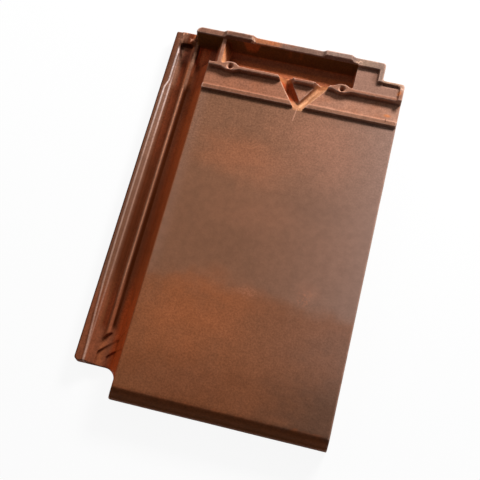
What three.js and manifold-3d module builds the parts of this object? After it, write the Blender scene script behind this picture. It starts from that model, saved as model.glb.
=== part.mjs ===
// Flat interlocking clay roof tile, pressed and fired in one piece. Millimetres, +Z up.
// The visible face lies level. +Y points to the head of the tile (up the roof), +X to its right.
// Inside this file x = 0 is the left edge of the visible face, y = 0 the front of the nose and
// z = 0 the visible face. The finished mesh is then moved so that the origin is the middle of
// the tile's footprint at the height it rests on.
import * as THREE from 'three';
import { mergeVertices } from 'three/addons/utils/BufferGeometryUtils.js';
import Module from 'manifold-3d';

const wasm = await Module();
wasm.setup();

// ---------- driving dimensions ----------

// Overall
const tileLength = 458.3;
const faceWidth = 235.5;
const lockWidth = 51.6;
const sideGap = 4.5;
const bodyThickness = 12;
const noseDrop = 28;

// Side lock, left of the visible face: depths below the face
const outerStripDepth = 12.8;
const crestDepth = 11;
const channelDepth = 16.8;
const gutterDepth = 18.6;
const lockFloorThickness = 7.4;

// Side lock: distances left of the face's edge, and the runs of its slopes
const ridgeOneRight = 38.6;
const channelSlopeRun = 3.6;
const channelSlopeDrop = 4;
const channelFloorLeft = 33.6;
const channelFloorRight = 27.4;
const ridgeTwoCrestLeft = 24.6;
const ridgeTwoCrestRight = 22;
const ridgeTwoShoulder = 20;
const ridgeTwoShoulderDrop = 1.7;
const ridgeTwoFoot = 18.3;
const ridgeTwoHeadCrestLeft = 25.3;
const ridgeTwoHeadCrestRight = 19.8;
const ridgeTwoHeadShoulder = 18.2;
const ridgeTwoHeadFoot = 15.8;
const gutterWallRun = 10.6;
const gutterCornerChamfer = 1.2;
const faceEdgeRadius = 1.8;
const edgeChamfer = 0.7;
const lockUnderRun = 8;

// Side lock in plan
const lockEndY = 31.9;
const lockCornerRadius = 4;
const lockInnerRadius = 12;
const lockHeadWallWidth = 16.3;
const lockPocketInset = 1;
const lockPocketWallLength = 13;
const lockHeadCornerRadius = 1.5;

// Where the first ridge's left edge lies: [y from the eave, distance left of the face]
const ridgeOneEdgeNearEave = [
  [0, 40.2],
  [43, 41.2],
  [83, 43.4],
  [158, 45.6],
];
const ridgeOneEdge = 45.6;
const ridgeOneHeadEdge = 42.4;
const ridgeShiftSetback = 80;
const ridgeShiftLength = 9;

// Lower end of the lock: the second ridge stops on a slanted face, and two shallow steps drain it
const ridgeTwoEndY = 70.4;
const drainStepOneY = 75.6;
const drainStepOneDepth = 19.8;
const drainStepOneLeft = 29.5;
const drainStepTwoY = 62.5;
const drainStepTwoDepth = 21.8;
const drainStepTwoLeft = 19.2;
const drainWallShift = 0.8;
const drainWallNotch = 1.8;
const drainBendRadius = 6;

// Nose
const noseSlopeRun = 9.2;
const noseSlopeDrop = 15.5;
const noseEdgeRadius = 7;
const noseBellyRadius = 9;
const noseSideRun = 5.4;
const noseCornerRadius = 3;
const noseLipWidth = 11;
const noseLipRadius = 2;
const noseBackRun = 5;
const noseBackRadius = 6;

// Head: heights above the visible face
const bandHeight = 1.8;
const lowerRibHeight = 3.6;
const upperRibHeight = 8;
const shelfHeight = 7.2;
const rimHeight = 11;
const blockHeight = 15;

// Head: places measured back from the lock's head end, and widths
const rimSetback = 1.7;
const rimWidth = 8.4;
const blockWidth = 7;
const blockEndRun = 3.8;
const rimEdgeRadius = 1.3;
const upperRibSetback = 48.8;
const upperRibWidth = 5.2;
const upperRibEndInset = 1.6;
const lowerRibSetback = 79.4;
const lowerRibWidth = 6.6;
const lowerRibBackRun = 1.4;
const ribFaceRun = 0.8;

// Nail bosses on the upper rib
const bossLeftX = 28.2;
const bossRightInset = 71.3;
const bossSetback = 45.6;
const bossRearReach = 6.4;
const bossFrontReach = 5.2;
const bossFlareLength = 16;
const bossCrownWidth = 8;
const bossBlendRadius = 7;
const nailRimRadius = 4.5;
const nailHoleRadius = 3.1;
const nailTipRadius = 1.6;
const nailRimDepth = 1.2;
const nailHoleDepth = 10;

// Head rim
const blockOneLeft = 22.6;
const blockOneEndDraft = 0.22;
const blockOneCornerRadius = 7;
const blockTwoLeftX = 14.4;
const blockTwoLength = 32.6;
const blockThreeInset = 98.7;
const blockThreeLength = 31.2;
const rimStepInset = 26.6;
const rimStepDepth = 22.6;
const rimRightExtraWidth = 1.8;
const rimLegWidth = 6.2;
const rimShoulderWidth = 3.9;
const endWallWidth = 5.2;
const rimCornerRadius = 1.8;
const shelfCornerRadius = 4;

// Trough behind the upper rib, and the web that parts it from the gutter
const webLeftX = 11.5;
const webWidth = 4;
const troughRightInset = 58.9;
const troughDepth = 13;
const troughBackRun = 4.6;
const troughLeftRun = 8.5;
const troughRightRun = 2.6;
const troughCornerRadius = 5;
const troughFloorThickness = 8;
const troughFrontRun = 3.4;
const troughFrontDepth = 3.6;
const gutterHeadFrontRun = 4;
const bulgeMargin = 6;
const bulgeDraft = 0.6;

// V drain through the two ribs, with its island
const drainCentreShift = 0.75;
const drainHalfAngleRun = 0.7;
const drainTipHalfWidth = 6;
const drainRibDraft = 0.08;
const drainWallDraft = 0.65;
const drainRampRun = 14;
const drainRampDepth = 3.4;
const drainRampRadius = 10;
const drainMouthDepth = 4.3;
const islandHalfWidth = 16.3;
const islandLength = 27.2;
const islandDraft = 0.36;
const islandFootDraft = 0.65;
const islandBackRun = 1.2;

// Cover flange on the right, which laps over the next tile's lock
const lapClearance = 0.9;
const lapSideClearance = 2.4;
const lapRibWidth = 3.4;
const lapRibDraft = 1.2;
const edgeRibWidth = 4.4;
const edgeRibClearance = 2;
const lapStartY = 26;

// Underside
const footRibY = 56;
const footRibWidth = 8;
const footRibHeight = 8;
const footRibInset = 22;
const nibWidth = 32;
const nibLeftX = 31;
const nibRightInset = 94.5;
const nibSetback = 60;
const nibFootLength = 8;
const nibBackRun = 10;
const nibEdgeChamfer = 1.5;
const stiffenerHeight = 3;
const stiffenerWidth = 7;
const stiffenerFractions = [0.26, 0.52];
const stiffenerDraft = 0.5;
const undersideDraft = 0.12;

// ---------- derived places ----------

const arcSteps = 4;
const beyond = 20;
const coverPitch = faceWidth + sideGap;
const lockFloorZ = -(gutterDepth + lockFloorThickness);
const rimOuterY = tileLength - rimSetback;
const rimFrontY = rimOuterY - rimWidth;
const rimStepX = faceWidth - rimStepInset;
const rimStepY = rimOuterY - rimStepDepth;
const upperRibFrontY = tileLength - upperRibSetback;
const upperRibBackY = upperRibFrontY + upperRibWidth;
const lowerRibFrontY = tileLength - lowerRibSetback;
const bossY = tileLength - bossSetback;
const bossRightX = faceWidth - bossRightInset;
const troughRightX = faceWidth - troughRightInset;
const webRightX = webLeftX + webWidth;
const drainCentreX = faceWidth / 2 + drainCentreShift;
const nibFrontY = tileLength - nibSetback;
const nibRightX = faceWidth - nibRightInset;
const ridgeShiftY = tileLength - ridgeShiftSetback;

// ---------- shapes and solids ----------

// An outline of corners [x, y, radius]; a corner with a radius becomes a tangent arc.
function outline(corners) {
  const shape = new THREE.Shape();
  corners.forEach((corner, i) => {
    const here = new THREE.Vector2(corner[0], corner[1]);
    const radius = corner[2] ?? 0;
    if (radius === 0) {
      if (i === 0) shape.moveTo(here.x, here.y);
      else shape.lineTo(here.x, here.y);
      return;
    }
    const before = corners[(i + corners.length - 1) % corners.length];
    const after = corners[(i + 1) % corners.length];
    const toBefore = new THREE.Vector2(before[0], before[1]).sub(here).normalize();
    const toAfter = new THREE.Vector2(after[0], after[1]).sub(here).normalize();
    const half = Math.acos(THREE.MathUtils.clamp(toBefore.dot(toAfter), -1, 1)) / 2;
    const reach = radius / Math.tan(half);
    const start = here.clone().addScaledVector(toBefore, reach);
    const end = here.clone().addScaledVector(toAfter, reach);
    const bisector = toBefore.clone().add(toAfter).normalize();
    const centre = here.clone().addScaledVector(bisector, radius / Math.sin(half));
    const startAngle = Math.atan2(start.y - centre.y, start.x - centre.x);
    const endAngle = Math.atan2(end.y - centre.y, end.x - centre.x);
    const clockwise = toBefore.cross(toAfter) > 0;
    if (i === 0) shape.moveTo(start.x, start.y);
    else shape.lineTo(start.x, start.y);
    shape.absarc(centre.x, centre.y, radius, startAngle, endAngle, clockwise);
  });
  shape.closePath();
  return shape;
}

// A closed geometry as a solid that can be joined and cut.
function solid(geometry) {
  const bare = geometry.clone();
  bare.deleteAttribute('normal');
  bare.deleteAttribute('uv');
  const welded = mergeVertices(bare, 1e-4);
  return new wasm.Manifold(
    new wasm.Mesh({
      numProp: 3,
      vertProperties: new Float32Array(welded.attributes.position.array),
      triVerts: new Uint32Array(welded.index.array),
    }),
  );
}

const axisX = new THREE.Vector3(1, 0, 0);
const axisY = new THREE.Vector3(0, 1, 0);
const axisZ = new THREE.Vector3(0, 0, 1);

function extrude(shape, depth, steps = 1) {
  return new THREE.ExtrudeGeometry(shape, { depth, steps, bevelEnabled: false, curveSegments: arcSteps });
}

// An outline in (y, z) carried along X.
function alongX(shape, x0, x1) {
  const geometry = extrude(shape, x1 - x0);
  geometry.applyMatrix4(new THREE.Matrix4().makeBasis(axisY, axisZ, axisX));
  geometry.translate(x0, 0, 0);
  return solid(geometry);
}

// An outline in (x, z) carried along Y.
function alongY(shape, y0, y1) {
  const geometry = extrude(shape, y1 - y0);
  geometry.applyMatrix4(new THREE.Matrix4().makeBasis(axisX, axisZ, axisY.clone().negate()));
  geometry.translate(0, y1, 0);
  return solid(geometry);
}

// An outline in (x, y) raised from z0 to z1.
function upright(shape, z0, z1) {
  const geometry = extrude(shape, z1 - z0);
  geometry.translate(0, 0, z0);
  return solid(geometry);
}

// The points of an outline moved inwards by a distance, corner by corner.
function inset(points, distance) {
  const turn = THREE.ShapeUtils.isClockWise(points) ? -1 : 1;
  return points.map((point, i) => {
    const before = points[(i + points.length - 1) % points.length];
    const after = points[(i + 1) % points.length];
    const inDirection = point.clone().sub(before).normalize();
    const outDirection = after.clone().sub(point).normalize();
    const normalIn = new THREE.Vector2(-inDirection.y, inDirection.x).multiplyScalar(turn);
    const normalOut = new THREE.Vector2(-outDirection.y, outDirection.x).multiplyScalar(turn);
    const mitre = normalIn.clone().add(normalOut);
    const stretch = (2 * distance) / Math.max(mitre.lengthSq(), 0.5);
    return point.clone().addScaledVector(mitre, stretch);
  });
}

// Points of an outline without its repeated closing point.
function outlinePoints(shape) {
  const points = shape.getPoints(arcSteps);
  const unique = points.filter((point, i) => i === 0 || point.distanceTo(points[i - 1]) > 1e-3);
  if (unique[0].distanceTo(unique[unique.length - 1]) < 1e-3) unique.pop();
  return unique;
}

// A stack of outlines with equally many points, each at its own height along the extrusion.
function stacked(rings, heights) {
  const base = rings[0];
  const geometry = extrude(new THREE.Shape(base), rings.length - 1, rings.length - 1);
  const position = geometry.attributes.position;
  for (let i = 0; i < position.count; i += 1) {
    const level = Math.round(position.getZ(i));
    const here = new THREE.Vector2(position.getX(i), position.getY(i));
    const place = base.findIndex((point) => point.distanceTo(here) < 1e-4);
    const target = rings[level][place];
    position.setXYZ(i, target.x, target.y, heights[level]);
  }
  return geometry;
}

// An outline in (x, y) at z0 that changes evenly into another at z1.
function lofted(lower, upper, z0, z1) {
  return solid(stacked([outlinePoints(lower), outlinePoints(upper)], [z0, z1]));
}

// An outline in (x, y) raised from z0 to z1 while its walls lean inwards by draft for each
// millimetre of height. A negative draft leans them outwards.
function drafted(shape, z0, z1, draft) {
  const base = outlinePoints(shape);
  return solid(stacked([base, inset(base, draft * (z1 - z0))], [z0, z1]));
}

// An outline in (x, y) raised from z0 to z1, its top edge rounded over.
function rounded(shape, z0, z1, radius) {
  const base = outlinePoints(shape);
  const rings = [base];
  const heights = [z0];
  for (let i = 0; i < arcSteps; i += 1) {
    const turn = (Math.PI / 2) * (i / (arcSteps - 1));
    rings.push(inset(base, radius * (1 - Math.cos(turn))));
    heights.push(z1 - radius + radius * Math.sin(turn));
  }
  return solid(stacked(rings, heights));
}

// ---------- the section carried along the tile ----------

// The whole cross-section, from the lock on the left to the cover flange on the right.
// ridgeOneLeft is the first ridge's left edge, and headPart is 1 where the ridges have moved over.
function tileSection(ridgeOneLeft, headPart) {
  const crestLeft = THREE.MathUtils.lerp(ridgeTwoCrestLeft, ridgeTwoHeadCrestLeft, headPart);
  const crestRight = THREE.MathUtils.lerp(ridgeTwoCrestRight, ridgeTwoHeadCrestRight, headPart);
  const shoulder = THREE.MathUtils.lerp(ridgeTwoShoulder, ridgeTwoHeadShoulder, headPart);
  const foot = THREE.MathUtils.lerp(ridgeTwoFoot, ridgeTwoHeadFoot, headPart);
  const points = [];
  const add = (x, z) => points.push(new THREE.Vector2(x, z));
  // underside of the lock and the body
  add(-lockWidth, lockFloorZ);
  add(0, lockFloorZ);
  add(lockUnderRun, -bodyThickness);
  // cover flange with its two ribs, shaped to the next tile's lock
  const flangeLeft = coverPitch - lockWidth - lapSideClearance;
  const flangeZ = -(crestDepth - lapClearance);
  const ribCentre = coverPitch - (channelFloorLeft + channelFloorRight) / 2;
  const ribZ = -(channelDepth - lapClearance);
  const edgeZ = -(gutterDepth - lapClearance);
  const edgeRibRight = coverPitch - gutterWallRun - edgeRibClearance;
  add(flangeLeft - bodyThickness / 2, -bodyThickness);
  add(flangeLeft, flangeZ);
  add(ribCentre - lapRibWidth / 2 - lapRibDraft, flangeZ);
  add(ribCentre - lapRibWidth / 2, ribZ);
  add(ribCentre + lapRibWidth / 2, ribZ);
  add(ribCentre + lapRibWidth / 2 + lapRibDraft, flangeZ);
  add(edgeRibRight - edgeRibWidth - lapRibDraft, flangeZ);
  add(edgeRibRight - edgeRibWidth, edgeZ);
  add(edgeRibRight, edgeZ);
  // right edge of the visible face
  add(faceWidth, -2 * faceEdgeRadius);
  for (let i = 0; i < arcSteps; i += 1) {
    const turn = (Math.PI / 2) * (i / (arcSteps - 1));
    add(faceWidth - faceEdgeRadius * (1 - Math.cos(turn)), -faceEdgeRadius * (1 - Math.sin(turn)));
  }
  // left edge of the visible face
  for (let i = 0; i < arcSteps; i += 1) {
    const turn = (Math.PI / 3) * (i / (arcSteps - 1));
    add(faceEdgeRadius * (1 - Math.sin(turn)), -faceEdgeRadius * (1 - Math.cos(turn)));
  }
  // gutter beside the face
  add(-gutterWallRun + gutterCornerChamfer / 2, -gutterDepth + gutterCornerChamfer);
  add(-gutterWallRun - gutterCornerChamfer, -gutterDepth);
  add(-foot + edgeChamfer, -gutterDepth);
  add(-foot, -gutterDepth + edgeChamfer);
  // second ridge
  add(-shoulder, -crestDepth - ridgeTwoShoulderDrop);
  add(-crestRight, -crestDepth - edgeChamfer / 4);
  add(-crestRight - edgeChamfer, -crestDepth);
  add(-crestLeft + edgeChamfer, -crestDepth);
  add(-crestLeft, -crestDepth - edgeChamfer);
  // side channel
  add(-channelFloorRight + edgeChamfer / 2, -channelDepth + edgeChamfer);
  add(-channelFloorRight - edgeChamfer, -channelDepth);
  add(-channelFloorLeft, -channelDepth);
  add(-ridgeOneRight + channelSlopeRun, -crestDepth - channelSlopeDrop);
  add(-ridgeOneRight + edgeChamfer, -crestDepth - edgeChamfer);
  // first ridge and the strip outside it
  add(-ridgeOneRight, -crestDepth);
  add(-ridgeOneLeft, -crestDepth);
  add(-ridgeOneLeft - edgeChamfer, -crestDepth - edgeChamfer / 2);
  add(-ridgeOneLeft - 2 * edgeChamfer, -outerStripDepth + edgeChamfer / 2);
  add(-lockWidth + 2 * edgeChamfer, -outerStripDepth);
  add(-lockWidth, -outerStripDepth - 2 * edgeChamfer);
  return points;
}

function sectionSolid() {
  const stations = ridgeOneEdgeNearEave.map((row) => row[0]);
  const rings = ridgeOneEdgeNearEave.map((row) => tileSection(row[1], 0));
  stations.push(ridgeShiftY, ridgeShiftY + ridgeShiftLength, tileLength);
  rings.push(tileSection(ridgeOneEdge, 0), tileSection(ridgeOneHeadEdge, 1), tileSection(ridgeOneHeadEdge, 1));
  const geometry = stacked(rings, stations);
  // the outline's (x, z) plane stands upright and the stack runs along +Y, which mirrors it
  geometry.applyMatrix4(new THREE.Matrix4().makeBasis(axisX, axisZ, axisY));
  const order = [...Array(geometry.attributes.position.count).keys()];
  for (let i = 0; i < order.length; i += 3) [order[i], order[i + 1]] = [order[i + 1], order[i]];
  geometry.setIndex(order);
  return solid(geometry);
}

// The tile's outline seen from above, with the left side of the nose run out by a distance.
function planOutline(sideRun) {
  return outline([
    [-sideRun, 0, noseCornerRadius],
    [faceWidth, 0],
    [faceWidth, rimStepY],
    [rimStepX, rimStepY, rimCornerRadius],
    [rimStepX, rimOuterY, rimCornerRadius],
    [-blockOneLeft, rimOuterY],
    [-blockOneLeft, tileLength],
    [-lockWidth, tileLength, lockHeadCornerRadius],
    [-lockWidth, lockEndY, lockCornerRadius],
    [-sideRun, lockEndY, lockInnerRadius],
  ]);
}

// The space inside the outline; the left side of the nose leans out towards its foot.
function planSolid() {
  return lofted(planOutline(noseSideRun), planOutline(0), -noseDrop, 0);
}

// ---------- nose ----------

function noseLip() {
  const floorZ = -noseDrop;
  const backY = noseLipWidth + noseBackRun;
  const lip = alongX(
    outline([
      [0, -faceEdgeRadius],
      [0, floorZ, noseLipRadius],
      [noseLipWidth, floorZ, noseLipRadius],
      [backY, -bodyThickness, noseBackRadius],
      [backY + 2 * noseBackRadius, -bodyThickness],
      [backY + 2 * noseBackRadius, -faceEdgeRadius],
    ]),
    -noseSideRun,
    faceWidth,
  );
  return lip.intersect(planSolid()).subtract(gutterSpace(noseDrop, drainWallNotch));
}

// What is taken off the front so that the face rolls over into the nose.
function noseRounding() {
  return alongX(
    outline([
      [-beyond, beyond],
      [-beyond, -noseSlopeDrop - beyond],
      [0, -noseSlopeDrop - beyond],
      [0, -noseSlopeDrop, noseBellyRadius],
      [noseSlopeRun, 0, noseEdgeRadius],
      [noseSlopeRun + beyond, 0],
      [noseSlopeRun + beyond, beyond],
    ]),
    -beyond,
    faceWidth + beyond,
  );
}

// ---------- head ----------

function lowerRib() {
  const backY = lowerRibFrontY + lowerRibWidth;
  return alongX(
    outline([
      [lowerRibFrontY, -1],
      [backY + lowerRibBackRun, -1],
      [backY + lowerRibBackRun, bandHeight],
      [backY, lowerRibHeight],
      [lowerRibFrontY + ribFaceRun + edgeChamfer, lowerRibHeight],
      [lowerRibFrontY + ribFaceRun, lowerRibHeight - edgeChamfer],
      [lowerRibFrontY, 0],
    ]),
    0.3,
    faceWidth - 0.6,
  );
}

function middleBand() {
  return alongX(
    outline([
      [lowerRibFrontY + lowerRibWidth, -1],
      [upperRibBackY, -1],
      [upperRibBackY, bandHeight],
      [lowerRibFrontY + lowerRibWidth, bandHeight],
    ]),
    0.3,
    faceWidth - 0.3,
  );
}

function upperRibProfile(backRun) {
  const top = upperRibHeight;
  return outline([
    [upperRibFrontY, -1],
    [upperRibBackY + backRun, -1],
    [upperRibBackY, top - edgeChamfer / 2],
    [upperRibBackY - edgeChamfer, top],
    [upperRibFrontY + ribFaceRun + edgeChamfer, top],
    [upperRibFrontY + ribFaceRun, top - edgeChamfer],
  ]);
}

function upperRib() {
  return alongX(upperRibProfile(edgeChamfer), upperRibEndInset, faceWidth - 0.2);
}

function shelf() {
  const left = troughRightX - bulgeMargin;
  return upright(
    outline([
      [left, upperRibFrontY + 2],
      [faceWidth - 1, upperRibFrontY + 2],
      [faceWidth - 1, rimStepY - 1],
      [rimStepX - 1, rimStepY - 1],
      [rimStepX - 1, rimOuterY - 1],
      [left, rimOuterY - 1],
    ]),
    -2,
    shelfHeight,
  );
}

// The raised rim along the head, with its step at the right and the short end wall.
function headRim() {
  const endWallX = faceWidth - endWallWidth;
  const rim = rounded(
    outline([
      [-blockOneLeft, rimFrontY],
      [troughRightX - 4, rimFrontY],
      [troughRightX - 1, rimFrontY - rimRightExtraWidth],
      [rimStepX - rimLegWidth, rimFrontY - rimRightExtraWidth],
      [rimStepX - rimLegWidth, rimStepY - rimShoulderWidth],
      [endWallX, rimStepY - rimShoulderWidth, shelfCornerRadius],
      [endWallX, upperRibFrontY + ribFaceRun],
      [faceWidth, upperRibFrontY + ribFaceRun],
      [faceWidth, rimStepY, 2 * rimCornerRadius],
      [rimStepX, rimStepY, rimCornerRadius],
      [rimStepX, rimOuterY, 2 * rimCornerRadius],
      [-blockOneLeft, rimOuterY, blockOneCornerRadius],
    ]),
    -6,
    rimHeight,
    rimEdgeRadius,
  );
  const footLeft = -blockOneLeft - blockOneEndDraft * (rimHeight - lockFloorZ - 2);
  const blockOneFoot = lofted(
    outline([
      [footLeft, rimFrontY],
      [webLeftX, rimFrontY],
      [webLeftX, rimOuterY],
      [footLeft, rimOuterY, blockOneCornerRadius],
    ]),
    outline([
      [-blockOneLeft + rimEdgeRadius, rimFrontY],
      [webLeftX, rimFrontY],
      [webLeftX, rimOuterY],
      [-blockOneLeft + rimEdgeRadius, rimOuterY, blockOneCornerRadius],
    ]),
    lockFloorZ + 2,
    rimHeight - rimEdgeRadius,
  );
  return rim.add(blockOneFoot);
}

// The foot of the rim, whose face slopes down to the floor before it.
function rimFoot(left, right, depth) {
  return alongX(
    outline([
      [rimFrontY - troughBackRun, -depth],
      [rimFrontY, rimHeight - rimEdgeRadius],
      [rimFrontY + rimWidth / 2, rimHeight - rimEdgeRadius],
      [rimFrontY + rimWidth / 2, -depth],
    ]),
    left,
    right,
  );
}

// The wall between the gutter's head and the trough, as high as the upper rib.
function web() {
  const frontY = upperRibFrontY + upperRibWidth / 2;
  return upright(
    outline([
      [webLeftX - webWidth, frontY],
      [webRightX + webWidth, frontY],
      [webRightX + webWidth, rimFrontY + rimWidth / 2],
      [webLeftX - webWidth, rimFrontY + rimWidth / 2],
    ]),
    -1,
    upperRibHeight,
  );
}

// A higher block on the rim, whose two ends slope down to it.
function rimBlock(x0, x1) {
  const frontY = rimOuterY - blockWidth;
  const foot = outline([
    [x0 - blockEndRun, rimFrontY + 0.2],
    [x1 + blockEndRun, rimFrontY + 0.2],
    [x1 + blockEndRun, rimOuterY],
    [x0 - blockEndRun, rimOuterY],
  ]);
  const middle = outline([
    [x0 - edgeChamfer / 2, frontY - edgeChamfer / 3],
    [x1 + edgeChamfer / 2, frontY - edgeChamfer / 3],
    [x1 + edgeChamfer / 2, rimOuterY],
    [x0 - edgeChamfer / 2, rimOuterY],
  ]);
  const top = outline([
    [x0 + edgeChamfer, frontY + edgeChamfer],
    [x1 - edgeChamfer, frontY + edgeChamfer],
    [x1 - edgeChamfer, rimOuterY - edgeChamfer],
    [x0 + edgeChamfer, rimOuterY - edgeChamfer],
  ]);
  const rings = [foot, foot, middle, top].map((shape) => outlinePoints(shape));
  const heights = [rimHeight - 2 * rimEdgeRadius, rimHeight, blockHeight - edgeChamfer, blockHeight];
  return solid(stacked(rings, heights));
}

// A boss for a nail: a pad whose sides run out along the rib.
function nailBoss(x) {
  const halfCrown = bossCrownWidth / 2;
  const middleY = upperRibFrontY + upperRibWidth / 2;
  return rounded(
    outline([
      [x - bossFlareLength, middleY],
      [x - halfCrown, bossY - bossFrontReach, bossBlendRadius],
      [x + halfCrown, bossY - bossFrontReach, bossBlendRadius],
      [x + bossFlareLength, middleY],
      [x + halfCrown, bossY + bossRearReach, bossBlendRadius],
      [x - halfCrown, bossY + bossRearReach, bossBlendRadius],
    ]),
    -troughDepth + 4,
    upperRibHeight,
    edgeChamfer,
  );
}

function nailHole(x) {
  const profile = [
    new THREE.Vector2(0, upperRibHeight - nailHoleDepth),
    new THREE.Vector2(nailTipRadius, upperRibHeight - nailHoleDepth),
    new THREE.Vector2(nailHoleRadius, upperRibHeight - nailRimDepth),
    new THREE.Vector2(nailRimRadius, upperRibHeight),
    new THREE.Vector2(nailRimRadius, upperRibHeight + 1),
    new THREE.Vector2(0, upperRibHeight + 1),
  ];
  const geometry = new THREE.LatheGeometry(profile, 20);
  geometry.rotateX(Math.PI / 2);
  geometry.translate(x, bossY, 0);
  return solid(geometry);
}

// The hollow behind the upper rib: a curved floor that is deepest at the back wall.
function troughProfile() {
  const frontY = upperRibBackY;
  const length = rimFrontY - troughBackRun - frontY;
  return outline([
    [frontY, beyond],
    [frontY, upperRibHeight - 1],
    [frontY + troughFrontRun, -troughFrontDepth, 4],
    [frontY + length * 0.5, -troughDepth * 0.75, 12],
    [frontY + length * 0.75, -troughDepth, 8],
    [rimFrontY - troughBackRun, -troughDepth, 2],
    [rimFrontY, rimHeight - rimEdgeRadius],
    [rimFrontY, beyond],
  ]);
}

// The gutter keeps its depth up to the rim.
function gutterHeadProfile() {
  return outline([
    [upperRibBackY, beyond],
    [upperRibBackY, upperRibHeight - 1],
    [upperRibBackY + gutterHeadFrontRun, -gutterDepth, 2],
    [rimFrontY - troughBackRun, -gutterDepth, 2],
    [rimFrontY, rimHeight - rimEdgeRadius],
    [rimFrontY, beyond],
  ]);
}

function trough() {
  const hollow = alongX(troughProfile(), webLeftX, troughRightX + beyond);
  const top = outline([
    [webRightX, upperRibBackY, troughCornerRadius],
    [troughRightX, upperRibBackY, troughCornerRadius],
    [troughRightX, rimFrontY + 1, troughCornerRadius / 2],
    [webRightX, rimFrontY + 1, troughCornerRadius / 2],
  ]);
  const bottom = outline([
    [webRightX + troughLeftRun, upperRibBackY + troughFrontRun, troughCornerRadius / 2],
    [troughRightX - troughRightRun, upperRibBackY + troughFrontRun, troughCornerRadius / 2],
    [troughRightX - troughRightRun, rimFrontY + 0.5, troughCornerRadius / 2],
    [webRightX + troughLeftRun, rimFrontY + 0.5, troughCornerRadius / 2],
  ]);
  const sides = lofted(bottom, top, -troughDepth - 1, upperRibHeight);
  const above = upright(top, upperRibHeight - 0.01, beyond);
  return hollow.intersect(sides.add(above));
}

// The head end of the gutter, left of the web.
function gutterHead() {
  const hollow = alongX(gutterHeadProfile(), -lockWidth, webLeftX + beyond);
  const left = -ridgeTwoHeadFoot;
  const top = outline([
    [left - 1, upperRibBackY - beyond],
    [webLeftX, upperRibBackY - beyond],
    [webLeftX, rimFrontY + 1, troughCornerRadius / 3],
    [left - 1, rimFrontY + 1],
  ]);
  const bottom = outline([
    [left, upperRibBackY - beyond],
    [webLeftX - troughLeftRun, upperRibBackY - beyond],
    [webLeftX - troughLeftRun, rimFrontY + 1, troughCornerRadius / 3],
    [left, rimFrontY + 1],
  ]);
  const sides = lofted(bottom, top, -gutterDepth - 1, upperRibHeight);
  const above = upright(top, upperRibHeight - 0.01, beyond);
  return hollow.intersect(sides.add(above));
}

// The wall that closes the side channel at the head, and the deeper pocket before it.
function lockHeadWall() {
  return upright(
    outline([
      [-ridgeOneHeadEdge, tileLength - lockHeadWallWidth],
      [-ridgeTwoShoulder, tileLength - lockHeadWallWidth],
      [-ridgeTwoShoulder, tileLength],
      [-ridgeOneHeadEdge, tileLength],
    ]),
    lockFloorZ + 2,
    -crestDepth,
  );
}

function lockHeadPocket() {
  const headY = tileLength - lockHeadWallWidth;
  const left = ridgeOneHeadEdge - lockPocketInset;
  return upright(
    outline([
      [-ridgeOneRight, upperRibBackY + 5],
      [-channelFloorRight, upperRibBackY + 2],
      [-channelFloorRight, headY],
      [-left, headY],
      [-left, headY - lockPocketWallLength],
    ]),
    -channelDepth,
    beyond,
  );
}

// ---------- V drain ----------

function drainCut() {
  const mouthY = upperRibBackY + 2 * troughFrontRun;
  const tipY = lowerRibFrontY;
  const mouthHalf = drainTipHalfWidth + drainHalfAngleRun * (mouthY - tipY);
  const shape = outline([
    [drainCentreX - drainTipHalfWidth, tipY],
    [drainCentreX + drainTipHalfWidth, tipY],
    [drainCentreX + mouthHalf, mouthY],
    [drainCentreX - mouthHalf, mouthY],
  ]);
  const bandRing = outlinePoints(shape);
  const depth = drainMouthDepth + 1;
  const floorRing = inset(bandRing, drainWallDraft * (bandHeight + depth));
  const topRing = inset(bandRing, -drainRibDraft * (beyond - bandHeight));
  [floorRing, topRing].forEach((ring) => {
    ring[0].y = tipY;
    ring[1].y = tipY;
    ring[2].y = mouthY;
    ring[3].y = mouthY;
  });
  const walls = solid(stacked([floorRing, bandRing, topRing], [-depth, bandHeight, beyond]));
  const ramp = alongX(
    outline([
      [tipY - 1, 0.001],
      [tipY, 0.001],
      [tipY + drainRampRun, -drainRampDepth, drainRampRadius],
      [mouthY, -drainMouthDepth],
      [mouthY, beyond],
      [tipY - 1, beyond],
    ]),
    drainCentreX - 2 * mouthHalf,
    drainCentreX + 2 * mouthHalf,
  );
  return walls.intersect(ramp);
}

function drainIsland() {
  const past = 2 * troughFrontRun;
  const half = (islandHalfWidth * (islandLength + past)) / islandLength;
  const bandRing = [
    new THREE.Vector2(drainCentreX, upperRibBackY - islandLength),
    new THREE.Vector2(drainCentreX + half, upperRibBackY + past),
    new THREE.Vector2(drainCentreX - half, upperRibBackY + past),
  ];
  const topRing = inset(bandRing, islandDraft * (upperRibHeight - bandHeight));
  const footRing = inset(bandRing, -islandFootDraft * (bandHeight + troughDepth));
  const rings = [footRing, bandRing, topRing];
  const wedge = solid(stacked(rings, [-troughDepth, bandHeight, upperRibHeight]));
  const profile = alongX(upperRibProfile(islandBackRun), 0, faceWidth).add(
    alongX(
      outline([
        [lowerRibFrontY, -troughDepth],
        [upperRibBackY + islandBackRun, -troughDepth],
        [upperRibBackY + islandBackRun, bandHeight],
        [lowerRibFrontY, bandHeight],
      ]),
      0,
      faceWidth,
    ),
  );
  return wedge.intersect(profile);
}

// ---------- lower end of the lock ----------

// A cut that runs level to levelX, down at 45 degrees to leftX and then straight to the lock's end.
function slantedPlan(faceY, levelX, leftX) {
  return outline([
    [2 * beyond, faceY - levelX],
    [-levelX, faceY - levelX],
    [-leftX, faceY - leftX, drainBendRadius],
    [-leftX, -beyond],
    [2 * beyond, -beyond],
  ]);
}

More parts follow.
